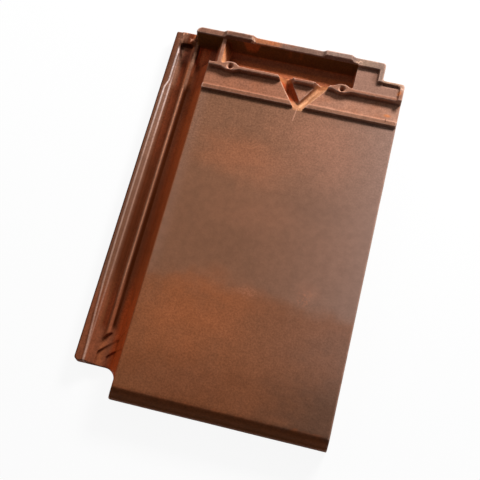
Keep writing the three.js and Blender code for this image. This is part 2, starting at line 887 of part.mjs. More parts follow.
// The space over the gutter, down to a depth, with its wall set back from the gutter's own.
function gutterSpace(depth, wallShift) {
  const lean = gutterWallRun / gutterDepth;
  return alongY(
    outline([
      [-lockWidth, -depth],
      [-gutterWallRun - (depth - gutterDepth) * lean + wallShift, -depth],
      [-lean * 2 * faceEdgeRadius + wallShift, -2 * faceEdgeRadius],
      [-lean * faceEdgeRadius + wallShift / 2, beyond],
      [-lockWidth, beyond],
    ]),
    -beyond,
    drainStepOneY + beyond,
  );
}

// Where the second ridge has ended, the floor slopes gently from the channel to the gutter.
function ridgeEndCut() {
  const left = channelFloorRight + edgeChamfer;
  const clear = upright(
    outline([
      [beyond, ridgeTwoEndY + ridgeTwoFoot + beyond],
      [-left, ridgeTwoEndY + ridgeTwoFoot - left],
      [-left, -beyond],
      [beyond, -beyond],
    ]),
    -noseDrop,
    beyond,
  );
  const space = alongY(
    outline([
      [-left, -channelDepth],
      [-ridgeTwoFoot + 2, -gutterDepth],
      [-gutterWallRun - gutterCornerChamfer, -gutterDepth],
      [-gutterWallRun / 2, -gutterDepth / 2],
      [-gutterWallRun / 2, beyond],
      [-left, beyond],
    ]),
    -beyond,
    ridgeTwoEndY + ridgeTwoFoot + beyond,
  );
  return clear.intersect(space);
}

function lockEndCuts() {
  const stepOne = upright(slantedPlan(drainStepOneY, -beyond, drainStepOneLeft), -noseDrop, beyond);
  const stepTwo = upright(slantedPlan(drainStepTwoY, gutterWallRun, drainStepTwoLeft), -noseDrop, beyond);
  return ridgeEndCut()
    .add(stepOne.intersect(gutterSpace(drainStepOneDepth, drainWallShift)))
    .add(stepTwo.intersect(gutterSpace(drainStepTwoDepth, drainWallNotch)));
}

// ---------- underside ----------

// The trough's floor stands out below the body.
function troughBulge() {
  const right = troughRightX + bulgeMargin;
  const bulge = drafted(
    outline([
      [lockUnderRun / 2, upperRibFrontY + 6],
      [right - bulgeMargin, upperRibFrontY + 6, 4],
      [right - bulgeMargin, rimOuterY - 1],
      [lockUnderRun / 2, rimOuterY - 1],
    ]),
    -troughDepth - troughFloorThickness,
    -bodyThickness + 1,
    -bulgeDraft,
  );
  const limit = upright(
    outline([
      [-lockWidth / 2, 0],
      [right, 0],
      [right, rimOuterY],
      [-lockWidth / 2, rimOuterY],
    ]),
    -noseDrop,
    0,
  );
  return bulge.intersect(limit);
}

// A hook that hangs on the batten.
function nib(x0) {
  const footEndY = nibFrontY + nibFootLength;
  return alongX(
    outline([
      [nibFrontY, -bodyThickness + 1],
      [nibFrontY, -noseDrop + nibEdgeChamfer],
      [nibFrontY + nibEdgeChamfer, -noseDrop],
      [footEndY, -noseDrop],
      [footEndY + nibBackRun, -troughDepth - troughFloorThickness + 0.5],
      [footEndY + nibBackRun + 6, -bodyThickness + 1],
    ]),
    x0,
    x0 + nibWidth,
  );
}

// The rib behind the nose that hangs into the trough of the tile below.
function footRib() {
  const left = footRibInset;
  const right = troughRightX - bulgeMargin;
  return drafted(
    outline([
      [left, footRibY, 2],
      [right, footRibY, 2],
      [right, footRibY + footRibWidth, 2],
      [left, footRibY + footRibWidth, 2],
    ]),
    -bodyThickness - footRibHeight,
    -bodyThickness + 1,
    -undersideDraft,
  );
}

function stiffener(x) {
  const half = stiffenerWidth / 2;
  const y0 = noseLipWidth + noseBackRun;
  return drafted(
    outline([
      [x - half, y0],
      [x + half, y0],
      [x + half, upperRibFrontY + 8],
      [x - half, upperRibFrontY + 8],
    ]),
    -bodyThickness - stiffenerHeight,
    -bodyThickness + 1,
    -stiffenerDraft,
  );
}

// The flange's room for the next tile's lock stops short of the nose, which stays full.
function noseFill() {
  const left = coverPitch - lockWidth - lapSideClearance - bodyThickness / 2;
  return upright(
    outline([
      [left, 0],
      [faceWidth - 2 * faceEdgeRadius, 0],
      [faceWidth - 2 * faceEdgeRadius, lapStartY],
      [left, lapStartY],
    ]),
    -bodyThickness,
    -2,
  );
}

// ---------- the tile ----------

function roofTile() {
  const blockTwo = rimBlock(blockTwoLeftX, blockTwoLeftX + blockTwoLength);
  const blockThreeX = faceWidth - blockThreeInset;
  const blockThree = rimBlock(blockThreeX, blockThreeX + blockThreeLength);
  let tile = sectionSolid().intersect(planSolid());
  tile = tile.add(troughBulge()).add(noseFill());
  tile = tile.add(middleBand()).add(lowerRib()).add(upperRib()).add(shelf());
  tile = tile.add(headRim()).add(blockTwo).add(blockThree).add(web());
  tile = tile.add(rimFoot(webLeftX, troughRightX, troughDepth));
  tile = tile.add(rimFoot(-blockOneLeft + rimEdgeRadius, webRightX, gutterDepth));
  tile = tile.add(lockHeadWall()).subtract(lockHeadPocket());
  tile = tile.subtract(trough()).subtract(gutterHead());
  tile = tile.add(nailBoss(bossLeftX)).add(nailBoss(bossRightX));
  tile = tile.subtract(drainCut()).add(drainIsland());
  tile = tile.subtract(nailHole(bossLeftX)).subtract(nailHole(bossRightX));
  tile = tile.subtract(lockEndCuts());
  tile = tile.add(noseLip()).subtract(noseRounding());
  tile = tile.add(nib(nibLeftX)).add(nib(nibRightX)).add(footRib());
  stiffenerFractions.forEach((fraction) => {
    tile = tile.add(stiffener(faceWidth * fraction));
  });
  return tile;
}

function tileGeometry(tileSolid) {
  const mesh = tileSolid.getMesh();
  const geometry = new THREE.BufferGeometry();
  geometry.setAttribute('position', new THREE.BufferAttribute(new Float32Array(mesh.vertProperties), 3));
  geometry.setIndex(new THREE.BufferAttribute(new Uint32Array(mesh.triVerts), 1));
  geometry.computeVertexNormals();
  return geometry;
}

const firedClay = new THREE.MeshStandardMaterial({ color: 0x8c6049, roughness: 0.86, metalness: 0 });
const tileMesh = new THREE.Mesh(tileGeometry(roofTile()), firedClay);
tileMesh.name = 'roof_tile';
tileMesh.position.set((lockWidth - faceWidth) / 2, -tileLength / 2, noseDrop);

const group = new THREE.Group();
group.add(tileMesh);

export default group;
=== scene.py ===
"""Finish, stage and camera for a flat interlocking clay roof tile.

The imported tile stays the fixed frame. A denser copy with softened edges stands for it and carries
the flamed clay finish. Lengths are in metres unless a name or a comment says millimetres.
"""

import bmesh
import bpy
import numpy as np
from bpy.props import FloatProperty, FloatVectorProperty, IntProperty, PointerProperty
from mathutils import Matrix, Vector


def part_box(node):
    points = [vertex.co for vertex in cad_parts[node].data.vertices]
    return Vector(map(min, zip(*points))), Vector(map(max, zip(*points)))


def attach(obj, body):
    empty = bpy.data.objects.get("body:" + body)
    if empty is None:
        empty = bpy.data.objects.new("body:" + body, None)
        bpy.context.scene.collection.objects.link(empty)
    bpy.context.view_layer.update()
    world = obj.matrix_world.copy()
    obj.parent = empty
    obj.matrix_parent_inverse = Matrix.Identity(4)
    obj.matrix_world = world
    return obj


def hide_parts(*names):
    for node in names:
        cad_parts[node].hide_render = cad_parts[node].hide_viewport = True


bl_info = {
    "name": "Clay Roof Tile",
    "version": (1, 0, 0),
    "blender": (4, 5, 0),
    "location": "3D View > Sidebar > Roof Tile",
    "description": "Dresses a packed interlocking roof tile in flamed clay and sets its stage",
    "category": "Object",
}

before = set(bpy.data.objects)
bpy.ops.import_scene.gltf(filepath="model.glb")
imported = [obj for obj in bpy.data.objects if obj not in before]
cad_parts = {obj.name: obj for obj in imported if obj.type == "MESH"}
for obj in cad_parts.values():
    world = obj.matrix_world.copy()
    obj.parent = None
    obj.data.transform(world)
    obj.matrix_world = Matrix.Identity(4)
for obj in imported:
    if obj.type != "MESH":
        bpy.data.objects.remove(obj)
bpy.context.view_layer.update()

MM = 0.001
TILE = "roof_tile"
BODY = "root"

# ---------- places on the tile ----------

# Places on the tile, with their reaches and soft edges, are in mm: x to the right of the visible
# face's left edge, y up from the nose and z above the face.
LOCK_WIDTH = 51.6
BLOCK_HEIGHT = 15.0
LOW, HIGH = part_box(TILE)
FACE_ORIGIN = Vector((LOW.x + LOCK_WIDTH * MM, LOW.y, HIGH.z - BLOCK_HEIGHT * MM))
FACE_WIDTH = (HIGH.x - FACE_ORIGIN.x) / MM


def at(x, y, z):
    """A place on the tile, as a point in metres."""
    return FACE_ORIGIN + Vector((x, y, z)) * MM


def srgb(red, green, blue):
    """A colour written as 0 to 255 screen values, as linear light."""
    def linear(value):
        value /= 255.0
        return value / 12.92 if value <= 0.04045 else ((value + 0.055) / 1.055) ** 2.4
    return (linear(red), linear(green), linear(blue))


# ---------- settings ----------

class TileBodySettings(bpy.types.PropertyGroup):
    grain_size: FloatProperty(
        name="Mesh grain", description="Edge length of the rebuilt skin",
        default=0.9 * MM, min=0.4 * MM, unit="LENGTH", precision=5)
    softening: IntProperty(
        name="Edge softening", description="Smoothing passes that round the arrises",
        default=2, min=0)
    press_wave: FloatProperty(
        name="Press waves", description="Depth of the faint waves left by pressing",
        default=0.25 * MM, unit="LENGTH", precision=5)
    triangles: IntProperty(
        name="Triangles", description="Most triangles in the finished skin",
        default=190000, min=20000)


class ClaySettings(bpy.types.PropertyGroup):
    base: FloatVectorProperty(
        name="Base", description="Brown of the fired face", subtype="COLOR",
        default=srgb(131, 89, 66))
    rose: FloatVectorProperty(
        name="Rose", description="Paler, pinker flames", subtype="COLOR",
        default=srgb(166, 109, 82))
    smoke: FloatVectorProperty(
        name="Smoke", description="Darker, greyer flames", subtype="COLOR",
        default=srgb(104, 73, 55))
    ember: FloatVectorProperty(
        name="Ember", description="Orange flames", subtype="COLOR", default=srgb(165, 95, 58))
    russet: FloatVectorProperty(
        name="Russet", description="Warmer brown of the lower face", subtype="COLOR",
        default=srgb(136, 83, 54))
    burnt: FloatVectorProperty(
        name="Burnt", description="Dark red-brown towards the nose", subtype="COLOR",
        default=srgb(110, 58, 32))
    umber: FloatVectorProperty(
        name="Umber", description="Dark brown of the lower right corner", subtype="COLOR",
        default=srgb(99, 65, 46))
    # Painted sheen: a pale grey laid towards the face's right edge and along part of its left edge.
    grey_sheen: FloatVectorProperty(
        name="Frost", description="Pale grey bloom towards the right edge", subtype="COLOR",
        default=srgb(150, 119, 106))
    lock: FloatVectorProperty(
        name="Lock", description="Brown of the first ridge of the side lock", subtype="COLOR",
        default=srgb(130, 86, 65))
    lock_edge: FloatVectorProperty(
        name="Lock edge", description="Brown of the lock's outer strip", subtype="COLOR",
        default=srgb(119, 77, 57))
    foot: FloatVectorProperty(
        name="Ridge foot", description="Red-brown at the feet of the second ridge",
        subtype="COLOR", default=srgb(118, 56, 30))
    rust: FloatVectorProperty(
        name="Rust", description="Red-brown at the channel's ends", subtype="COLOR",
        default=srgb(107, 47, 24))
    warm_lock: FloatVectorProperty(
        name="Warm lock", description="Brown of the lock near the nose", subtype="COLOR",
        default=srgb(137, 76, 50))
    slope: FloatVectorProperty(
        name="Slope", description="Slip on the slopes of the lock", subtype="COLOR",
        default=srgb(102, 59, 40))
    # Dark slip on the channel's floor; laid in creases, the same brown also stands for painted
    # shade.
    deep: FloatVectorProperty(
        name="Deep slip", description="Dark slip on the channel's floor and in creases",
        subtype="COLOR", default=srgb(85, 38, 16))
    # Painted shade: the darkest brown, along the second ridge's right wall, over the lock's shaded
    # middle and in the channel's head pocket.
    seam: FloatVectorProperty(
        name="Seam", description="Darkest slip, in the corners", subtype="COLOR",
        default=srgb(60, 22, 4))
    flank: FloatVectorProperty(
        name="Flank", description="Orange left side of the second ridge", subtype="COLOR",
        default=srgb(162, 91, 57))
    crest: FloatVectorProperty(
        name="Crest", description="Top of the second ridge", subtype="COLOR",
        default=srgb(181, 122, 94))
    # Painted shade and real stains: this dark brown lies in the gutter's corner and along the
    # lock's outer edge as painted shade, and in random stains over the lock.
    corner: FloatVectorProperty(
        name="Gutter corner", description="Stained clay in the gutter's corner", subtype="COLOR",
        default=srgb(90, 45, 25))
    gutter: FloatVectorProperty(
        name="Gutter", description="Orange clay without slip, along the gutter", subtype="COLOR",
        default=srgb(175, 82, 41))
    bare: FloatVectorProperty(
        name="Bare clay", description="Orange clay without slip, at the gutter's head",
        subtype="COLOR", default=srgb(155, 71, 38))
    glow: FloatVectorProperty(
        name="Bright clay", description="Brightest bare clay, in the gutter near the nose",
        subtype="COLOR", default=srgb(198, 86, 39))
    cream: FloatVectorProperty(
        name="Pale clay", description="Palest bare clay, in the lit leg of the drain",
        subtype="COLOR", default=srgb(186, 130, 93))
    # Rubbed arrises, paler also as a painted highlight.
    worn_and_glint: FloatVectorProperty(
        name="Worn edge", description="Rubbed arrises", subtype="COLOR",
        default=srgb(212, 168, 148))
    under: FloatVectorProperty(
        name="Underside", description="Clay of the side that rests on the roof", subtype="COLOR",
        default=srgb(160, 92, 62))
    roughness: FloatProperty(
        name="Roughness", description="Roughness of the fired face", default=0.6, min=0.0, max=1.0)
    grain: FloatProperty(
        name="Grain relief", description="Height of the sandy grain", default=0.16 * MM,
        unit="LENGTH", precision=5)


class StageSettings(bpy.types.PropertyGroup):
    key: FloatProperty(
        name="Key light", description="Power of the soft box behind the head", default=43.0,
        unit="POWER")
    key_place: FloatVectorProperty(
        name="Key place", description="Where the soft box stands", default=(0.56, 1.3, 0.78),
        unit="LENGTH")
    side: FloatProperty(
        name="Side light", description="Power of the second soft box", default=3.7, unit="POWER")
    side_place: FloatVectorProperty(
        name="Side place", description="Where the second soft box stands", default=(-0.9, 0.6, 0.7),
        unit="LENGTH")
    fill: FloatProperty(name="Fill light", description="Strength of the sky", default=0.08, min=0.0)
    floor_share: FloatProperty(
        name="Floor white", description="Share of the floor that is plain white to the camera",
        default=0.92, min=0.0, max=1.0)
    lens: FloatProperty(
        name="Lens", description="Focal length on a 36 mm sensor", default=71.25, unit="CAMERA")


# ---------- mesh helpers ----------

def link(name, data):
    """A new object for a mesh, lamp or camera, in the scene."""
    piece = bpy.data.objects.new(name, data)
    bpy.context.scene.collection.objects.link(piece)
    return piece


def bake_modifiers(piece):
    """Replace a piece's mesh by what its modifiers make of it."""
    graph = bpy.context.evaluated_depsgraph_get()
    graph.update()
    done = bpy.data.meshes.new_from_object(piece.evaluated_get(graph), depsgraph=graph)
    piece.modifiers.clear()
    old = piece.data
    piece.data = done
    bpy.data.meshes.remove(old)


def vertex_array(mesh, name):
    values = np.zeros(len(mesh.vertices) * 3)
    mesh.vertices.foreach_get(name, values)
    return values.reshape(-1, 3)


def spread(edges, count, values, passes):
    """Values evened out over the mesh by averaging each point with its neighbours."""
    degree = np.bincount(edges.ravel(), minlength=count)[:, None]
    for _ in range(passes):
        total = np.zeros_like(values)
        for column in range(values.shape[1]):
            total[:, column] = (
                np.bincount(edges[:, 0], values[edges[:, 1], column], count)
                + np.bincount(edges[:, 1], values[edges[:, 0], column], count))
        values = 0.5 * values + 0.5 * total / np.maximum(degree, 1)
    return values


def store(mesh, name, values):
    layer = mesh.attributes.new(name, "FLOAT", "POINT")
    layer.data.foreach_set("value", np.clip(values, 0.0, 1.0).astype(np.float32))


# A point is compared with the surface around it after so many evening passes. It is fully an arris
# or a crease at so many mm out of it. Faces whose normal's height is below the start are underside,
# and the gain is how quickly they become it.
AROUND_PASSES = 6
FULL_RELIEF = 0.28
UNDERSIDE_START = -0.25
UNDERSIDE_GAIN = 6.0


def record_curvature(mesh):
    """Store how much each point stands out as an arris, lies in a crease or faces down."""
    count = len(mesh.vertices)
    points = vertex_array(mesh, "co")
    normals = vertex_array(mesh, "normal")
    edges = np.zeros(len(mesh.edges) * 2, dtype=np.int64)
    mesh.edges.foreach_get("vertices", edges)
    edges = edges.reshape(-1, 2)
    around = spread(edges, count, points, AROUND_PASSES)
    relief = np.einsum("ij,ij->i", points - around, normals) / MM
    relief = spread(edges, count, relief[:, None], 1)[:, 0]
    store(mesh, "arris", relief / FULL_RELIEF)
    store(mesh, "crease", -relief / FULL_RELIEF)
    store(mesh, "underside", (UNDERSIDE_START - normals[:, 2]) * UNDERSIDE_GAIN)


# Gentle moves of the skin: lowest and highest corner in mm, how far the move fades out beyond them
# along each axis, and the move in mm.
SKIN_MOVES = (
    ((-1.0, -2.0, -6.0), (240.0, 12.0, 1.0), (2.0, 3.0, 6.0), (0.0, -1.5, 0.0)),
    ((-1.0, 2.5, -1.0), (240.0, 7.5, 1.0), (2.0, 6.0, 3.0), (0.0, 0.0, -0.45)),
    ((210.6, 427.5, 9.2), (240.0, 440.0, 12.0), (1.6, 1.0, 3.4), (0.0, 0.0, -1.6)),
)
# The nail dimples: their centres, how far they reach, their top and deepest height, all in mm, and
# the share of the solid's depth that they keep.
DIMPLES = ((28.2, 412.7), (164.2, 412.7))
DIMPLE_REACH = 3.9
DIMPLE_TOP = 6.8
DIMPLE_BOTTOM = -4.0
DIMPLE_SHARE = 0.55


def shape_skin(mesh):
    """Roll the nose over a little later, sink the rim's low end and make the dimples shallow."""
    origin = np.array(FACE_ORIGIN)
    place = (vertex_array(mesh, "co") - origin) / MM
    for low, high, fade, move in SKIN_MOVES:
        outside = np.maximum(np.maximum(np.array(low) - place, place - np.array(high)), 0.0)
        weight = np.prod(1.0 - np.clip(outside / np.array(fade), 0.0, 1.0), axis=1)
        place += weight[:, None] * np.array(move)
    for x, y in DIMPLES:
        inside = np.hypot(place[:, 0] - x, place[:, 1] - y) < DIMPLE_REACH
        sunk = inside & (place[:, 2] < DIMPLE_TOP) & (place[:, 2] > DIMPLE_BOTTOM)
        place[sunk, 2] = DIMPLE_TOP - (DIMPLE_TOP - place[sunk, 2]) * DIMPLE_SHARE
    mesh.vertices.foreach_set("co", (place * MM + origin).ravel())
    mesh.update()


# ---------- material helpers ----------

# Where the node editor shows the nodes: one step to the right each, over a number of rows.
NODE_STEP = 40
NODE_ROWS = 400


class Graph:
    """Adds nodes to a tree from left to right and joins them."""

    def __init__(self, owner):
        """Start on the emptied node tree of a material or a world."""
        owner.use_nodes = True
        self.tree = owner.node_tree
        self.tree.nodes.clear()
        self.across = 0

    def node(self, kind, inputs=(), **settings):
        made = self.tree.nodes.new(kind)
        self.across += NODE_STEP
        made.location = (self.across, -(self.across % NODE_ROWS))
        for name, value in settings.items():
            setattr(made, name, value)
        for key, value in dict(inputs).items():
            self.feed(made.inputs[key], value)
        return made

    def feed(self, socket, value):
        if isinstance(value, bpy.types.NodeSocket):
            self.tree.links.new(value, socket)
        elif socket.type == "RGBA" and len(value) == 3:
            socket.default_value = (*value, 1.0)
        else:
            socket.default_value = value

    def attribute(self, name):
        return self.node("ShaderNodeAttribute", attribute_name=name).outputs["Fac"]

    def math(self, operation, first, second=0.0):
        return self.node("ShaderNodeMath", {0: first, 1: second}, operation=operation).outputs[0]

    def times(self, *masks):
        """All masks at once."""
        product = masks[0]
        for mask in masks[1:]:
            product = self.math("MULTIPLY", product, mask)
        return product

    def either(self, masks):
        """Whichever mask is strongest."""
        strongest, *others = masks
        for mask in others:
            strongest = self.math("MAXIMUM", strongest, mask)
        return strongest

    def aside(self, value, centre):
        """How far value is from the centre, on either side."""
        return self.math("ABSOLUTE", self.math("SUBTRACT", value, centre))

    def ramp(self, value, low, high, to_low=0.0, to_high=1.0):
        """A smooth step from to_low to to_high as value goes from low to high."""
        node = self.node("ShaderNodeMapRange", {0: value, 1: low, 2: high, 3: to_low, 4: to_high},
                         interpolation_type="SMOOTHSTEP")
        return node.outputs[0]

    def track(self, value, points):
        """A number that runs in straight lines through points of a place and a number."""
        result = points[0][1]
        for (low, first), (high, last) in zip(points, points[1:]):
            step = self.node(
                "ShaderNodeMapRange", {0: value, 1: low, 2: high, 3: 0.0, 4: last - first})
            result = self.math("ADD", step.outputs[0], result)
        return result

    def bands(self, value, stops):
        """A colour that blends from stop to stop, each a place and a colour."""
        first, last = stops[0][0], stops[-1][0]
        share = self.node("ShaderNodeMapRange", {0: value, 1: first, 2: last}).outputs[0]
        node = self.node("ShaderNodeValToRGB", {0: share})
        elements = node.color_ramp.elements
        for place, _ in stops[1:-1]:
            elements.new((place - first) / (last - first))
        for element, (_, colour) in zip(elements, stops):
            element.color = (*colour, 1.0)
        return node.outputs[0]

    def over(self, value, edge, soft=1.0):
        """1 where value is over the edge."""
        return self.ramp(value, edge - soft / 2, edge + soft / 2)

    def under(self, value, edge, soft=1.0):
        """1 where value is under the edge."""
        return self.ramp(value, edge - soft / 2, edge + soft / 2, 1.0, 0.0)

    def between(self, value, low, high, soft=1.0):
        """1 where value is between two edges."""
        return self.times(self.over(value, low, soft), self.under(value, high, soft))

    def mix(self, factor, first, second):
        node = self.node("ShaderNodeMix", data_type="RGBA")
        self.feed(node.inputs[0], factor)
        self.feed(node.inputs[6], first)
        self.feed(node.inputs[7], second)
        return node.outputs[2]

    def wash(self, colour, mask, laid, strength=1.0):
        """A colour with another laid over it where the mask is 1, up to a strength."""
        if strength != 1.0:
            mask = self.math("MULTIPLY", mask, strength)
        return self.mix(mask, colour, laid)


# ---------- clay ----------

# Flames on the face: finish, centre, reach across and along, strength.
FLAMES = (
    ("ember", (72, 305), (64, 36), 0.36),
    ("rose", (84, 300), (64, 34), 0.22),
    ("rose", (146, 352), (54, 42), 0.45),
    ("rose", (180, 322), (42, 46), 0.50),
    ("smoke", (30, 374), (70, 16), 0.20),
    ("smoke", (84, 206), (48, 40), 0.22),
    ("smoke", (26, 234), (26, 34), 0.12),
    ("smoke", (166, 254), (60, 26), 0.24),
    ("rose", (214, 206), (38, 48), 0.14),
    ("ember", (66, 142), (70, 22), 0.30),
    ("ember", (66, 106), (62, 52), 0.60),
    ("ember", (108, 84), (74, 50), 0.12),
    ("smoke", (184, 106), (74, 40), 0.10),
    ("ember", (14, 80), (52, 54), 0.28),
    ("rose", (180, 158), (18, 13), 0.45),
    ("burnt", (92, 18), (150, 52), 0.38),
    ("umber", (234, 20), (92, 90), 0.98),
)

# Finishes across the lock, from its outer edge to the face: place, finish. From the nose up these
# are its open end, the foot of its second ridge, the long middle and the head.
# The darkest finishes, along the second ridge's right wall and in the lock's corners, are painted
# shade.
LOCK_NEAR_NOSE = (
    (-51.4, "corner"), (-50.4, "burnt"), (-49.2, "warm_lock"), (-30.0, "warm_lock"),
    (-25.5, "flank"), (-20.0, "warm_lock"), (-17.6, "warm_lock"), (-10.4, "glow"), (-0.6, "glow"),
    (1.0, "flank"))
LOCK_LOW = (
    (-51.4, "corner"), (-50.4, "burnt"), (-49.2, "warm_lock"), (-36.6, "warm_lock"),
    (-33.6, "burnt"), (-32.0, "rust"), (-30.2, "rust"), (-28.0, "bare"), (-25.8, "warm_lock"),
    (-21.2, "warm_lock"), (-19.9, "seam"), (-18.8, "seam"), (-17.4, "corner"), (-10.6, "glow"),
    (-0.6, "glow"), (0.6, "flank"))
LOCK_MIDDLE = (
    (-51.4, "corner"), (-50.2, "corner"), (-49.2, "lock_edge"), (-46.6, "lock"), (-38.6, "lock"),
    (-37.0, "slope"), (-34.8, "deep"), (-30.4, "deep"), (-28.5, "foot"), (-26.6, "flank"),
    (-24.6, "crest"), (-23.1, "crest"), (-21.9, "slope"), (-20.7, "seam"), (-18.7, "seam"),
    (-17.4, "corner"), (-14.0, "foot"), (-8.0, "gutter"), (-0.8, "gutter"), (0.6, "flank"))
LOCK_HEAD = (
    (-51.4, "corner"), (-49.6, "slope"), (-41.0, "lock"), (-36.6, "lock"), (-34.4, "slope"),
    (-32.6, "rust"), (-29.0, "rust"), (-27.0, "flank"), (-24.8, "flank"), (-22.8, "lock"),
    (-20.4, "lock"), (-19.0, "deep"), (-16.4, "corner"), (-8.8, "bare"), (0.6, "bare"))
# The sections above the one at the nose, and where each takes over from the one below.
LOCK_CHANGES = (
    (LOCK_LOW, 67.0, 80.0), (LOCK_MIDDLE, 92.0, 150.0), (LOCK_HEAD, 376.0, 389.0))

# The two pale lines on the first ridge, rubbed arrises with a painted highlight, and the strip
# between
# them, with a painted sheen: where they run and how strong they are, at places up the tile.
FIRST_LINE = (
    (36.0, -40.3), (55.0, -41.0), (90.0, -43.0), (125.0, -44.75), (175.0, -45.7), (240.0, -46.0),
    (300.0, -45.9), (378.0, -45.5), (388.0, -42.5))
FIRST_STRENGTH = ((55.0, 0.56), (125.0, 0.60), (240.0, 0.8), (330.0, 1.0))
SECOND_LINE = -39.4
SECOND_STRENGTH = ((55.0, 0.22), (240.0, 0.30), (310.0, 0.5), (378.0, 0.55), (394.0, 0.15))
GAP_STRENGTH = ((180.0, 0.0), (376.0, 0.28), (394.0, 0.08))

# Painted shadow in the channel's head pocket: a dark line down its left wall, and a darker area at
# its head end.
POCKET_LINE = ((420.0, -37.8), (428.0, -39.0), (434.0, -40.6), (441.0, -42.3))
POCKET_END = ((444.0, 0.8), (449.0, 0.5), (454.0, 0.15), (457.0, 0.0))

# Tones along the rim from the lock to its low end, over the trough's floor by height, and along the
# web's lit side, which darkens towards the head as painted shade: place, and 0 to 255 screen
# values.
RIM_TONES = (
    (-22.0, (129, 89, 72)), (10.0, (130, 90, 72)), (18.0, (112, 76, 61)), (44.0, (110, 76, 61)),
    (52.0, (168, 104, 70)), (78.0, (160, 100, 68)), (84.0, (124, 92, 78)), (134.0, (124, 95, 82)),
    (144.0, (136, 111, 99)), (172.0, (134, 106, 94)), (184.0, (148, 119, 101)),
    (206.0, (138, 111, 98)), (214.0, (164, 128, 102)), (226.0, (158, 122, 96)),
    (236.0, (190, 152, 134)))
TROUGH_TONES = (
    (-13.0, (150, 87, 58)), (-11.6, (174, 96, 58)), (-8.6, (176, 94, 56)), (-6.0, (155, 84, 53)),
    (-3.0, (144, 79, 51)))
WEB_SIDE_TONES = (
    (422.0, (196, 138, 98)), (428.0, (212, 140, 98)), (436.0, (188, 116, 74)),
    (440.0, (146, 84, 46)), (444.0, (112, 60, 26)))

# Tones that one spot alone has, as 0 to 255 screen values.
TONES = {
    "nose": (133, 76, 44), "nose_roll": (170, 92, 58),
    "ridge_end_light": (206, 150, 120), "ridge_wall_light": (148, 76, 48), "lock_end_light": (146, 82, 60),
    "line_head": (234, 204, 194), "line_gap": (164, 128, 112),
    "band_left": (152, 99, 75), "band_right": (167, 118, 95), "band_edge": (174, 132, 112),
    "low_rib_left": (130, 85, 64), "low_rib_right": (140, 98, 77),
    "shelf": (149, 110, 93), "shelf_shadow": (112, 78, 63),
    "rib_top": (148, 101, 80), "island_left": (139, 79, 57), "island_right": (132, 87, 67),
    "rim_ember": (184, 100, 60), "rim_chip": (208, 166, 140),
    "pit_wall": (108, 67, 31), "trough_wall": (104, 68, 36), "wall_ember": (164, 92, 50),
    "web": (152, 101, 79),
    "pit": (187, 90, 52), "pit_right": (160, 84, 56), "pit_left": (204, 106, 64),
    "pit_shade": (118, 58, 36),
    "drain_foot": (124, 76, 56), "drain_wall": (150, 96, 66), "drain_lit": (214, 156, 114),
    "drain_glow": (222, 160, 118), "drain_rim": (176, 120, 88), "drain_shade": (152, 66, 33),
    "drain_tip": (186, 126, 90), "mouth_left": (160, 94, 57), "mouth_right": (168, 104, 66),
    "mouth_light": (190, 118, 78),
    "run_off": (206, 150, 124), "orange_spot": (210, 124, 72), "nick": (70, 40, 26),
    "fleck": (178, 116, 88), "scrape": (206, 144, 114),
    "dimple_ring": (186, 136, 112), "dimple_floor": (148, 100, 78),
}

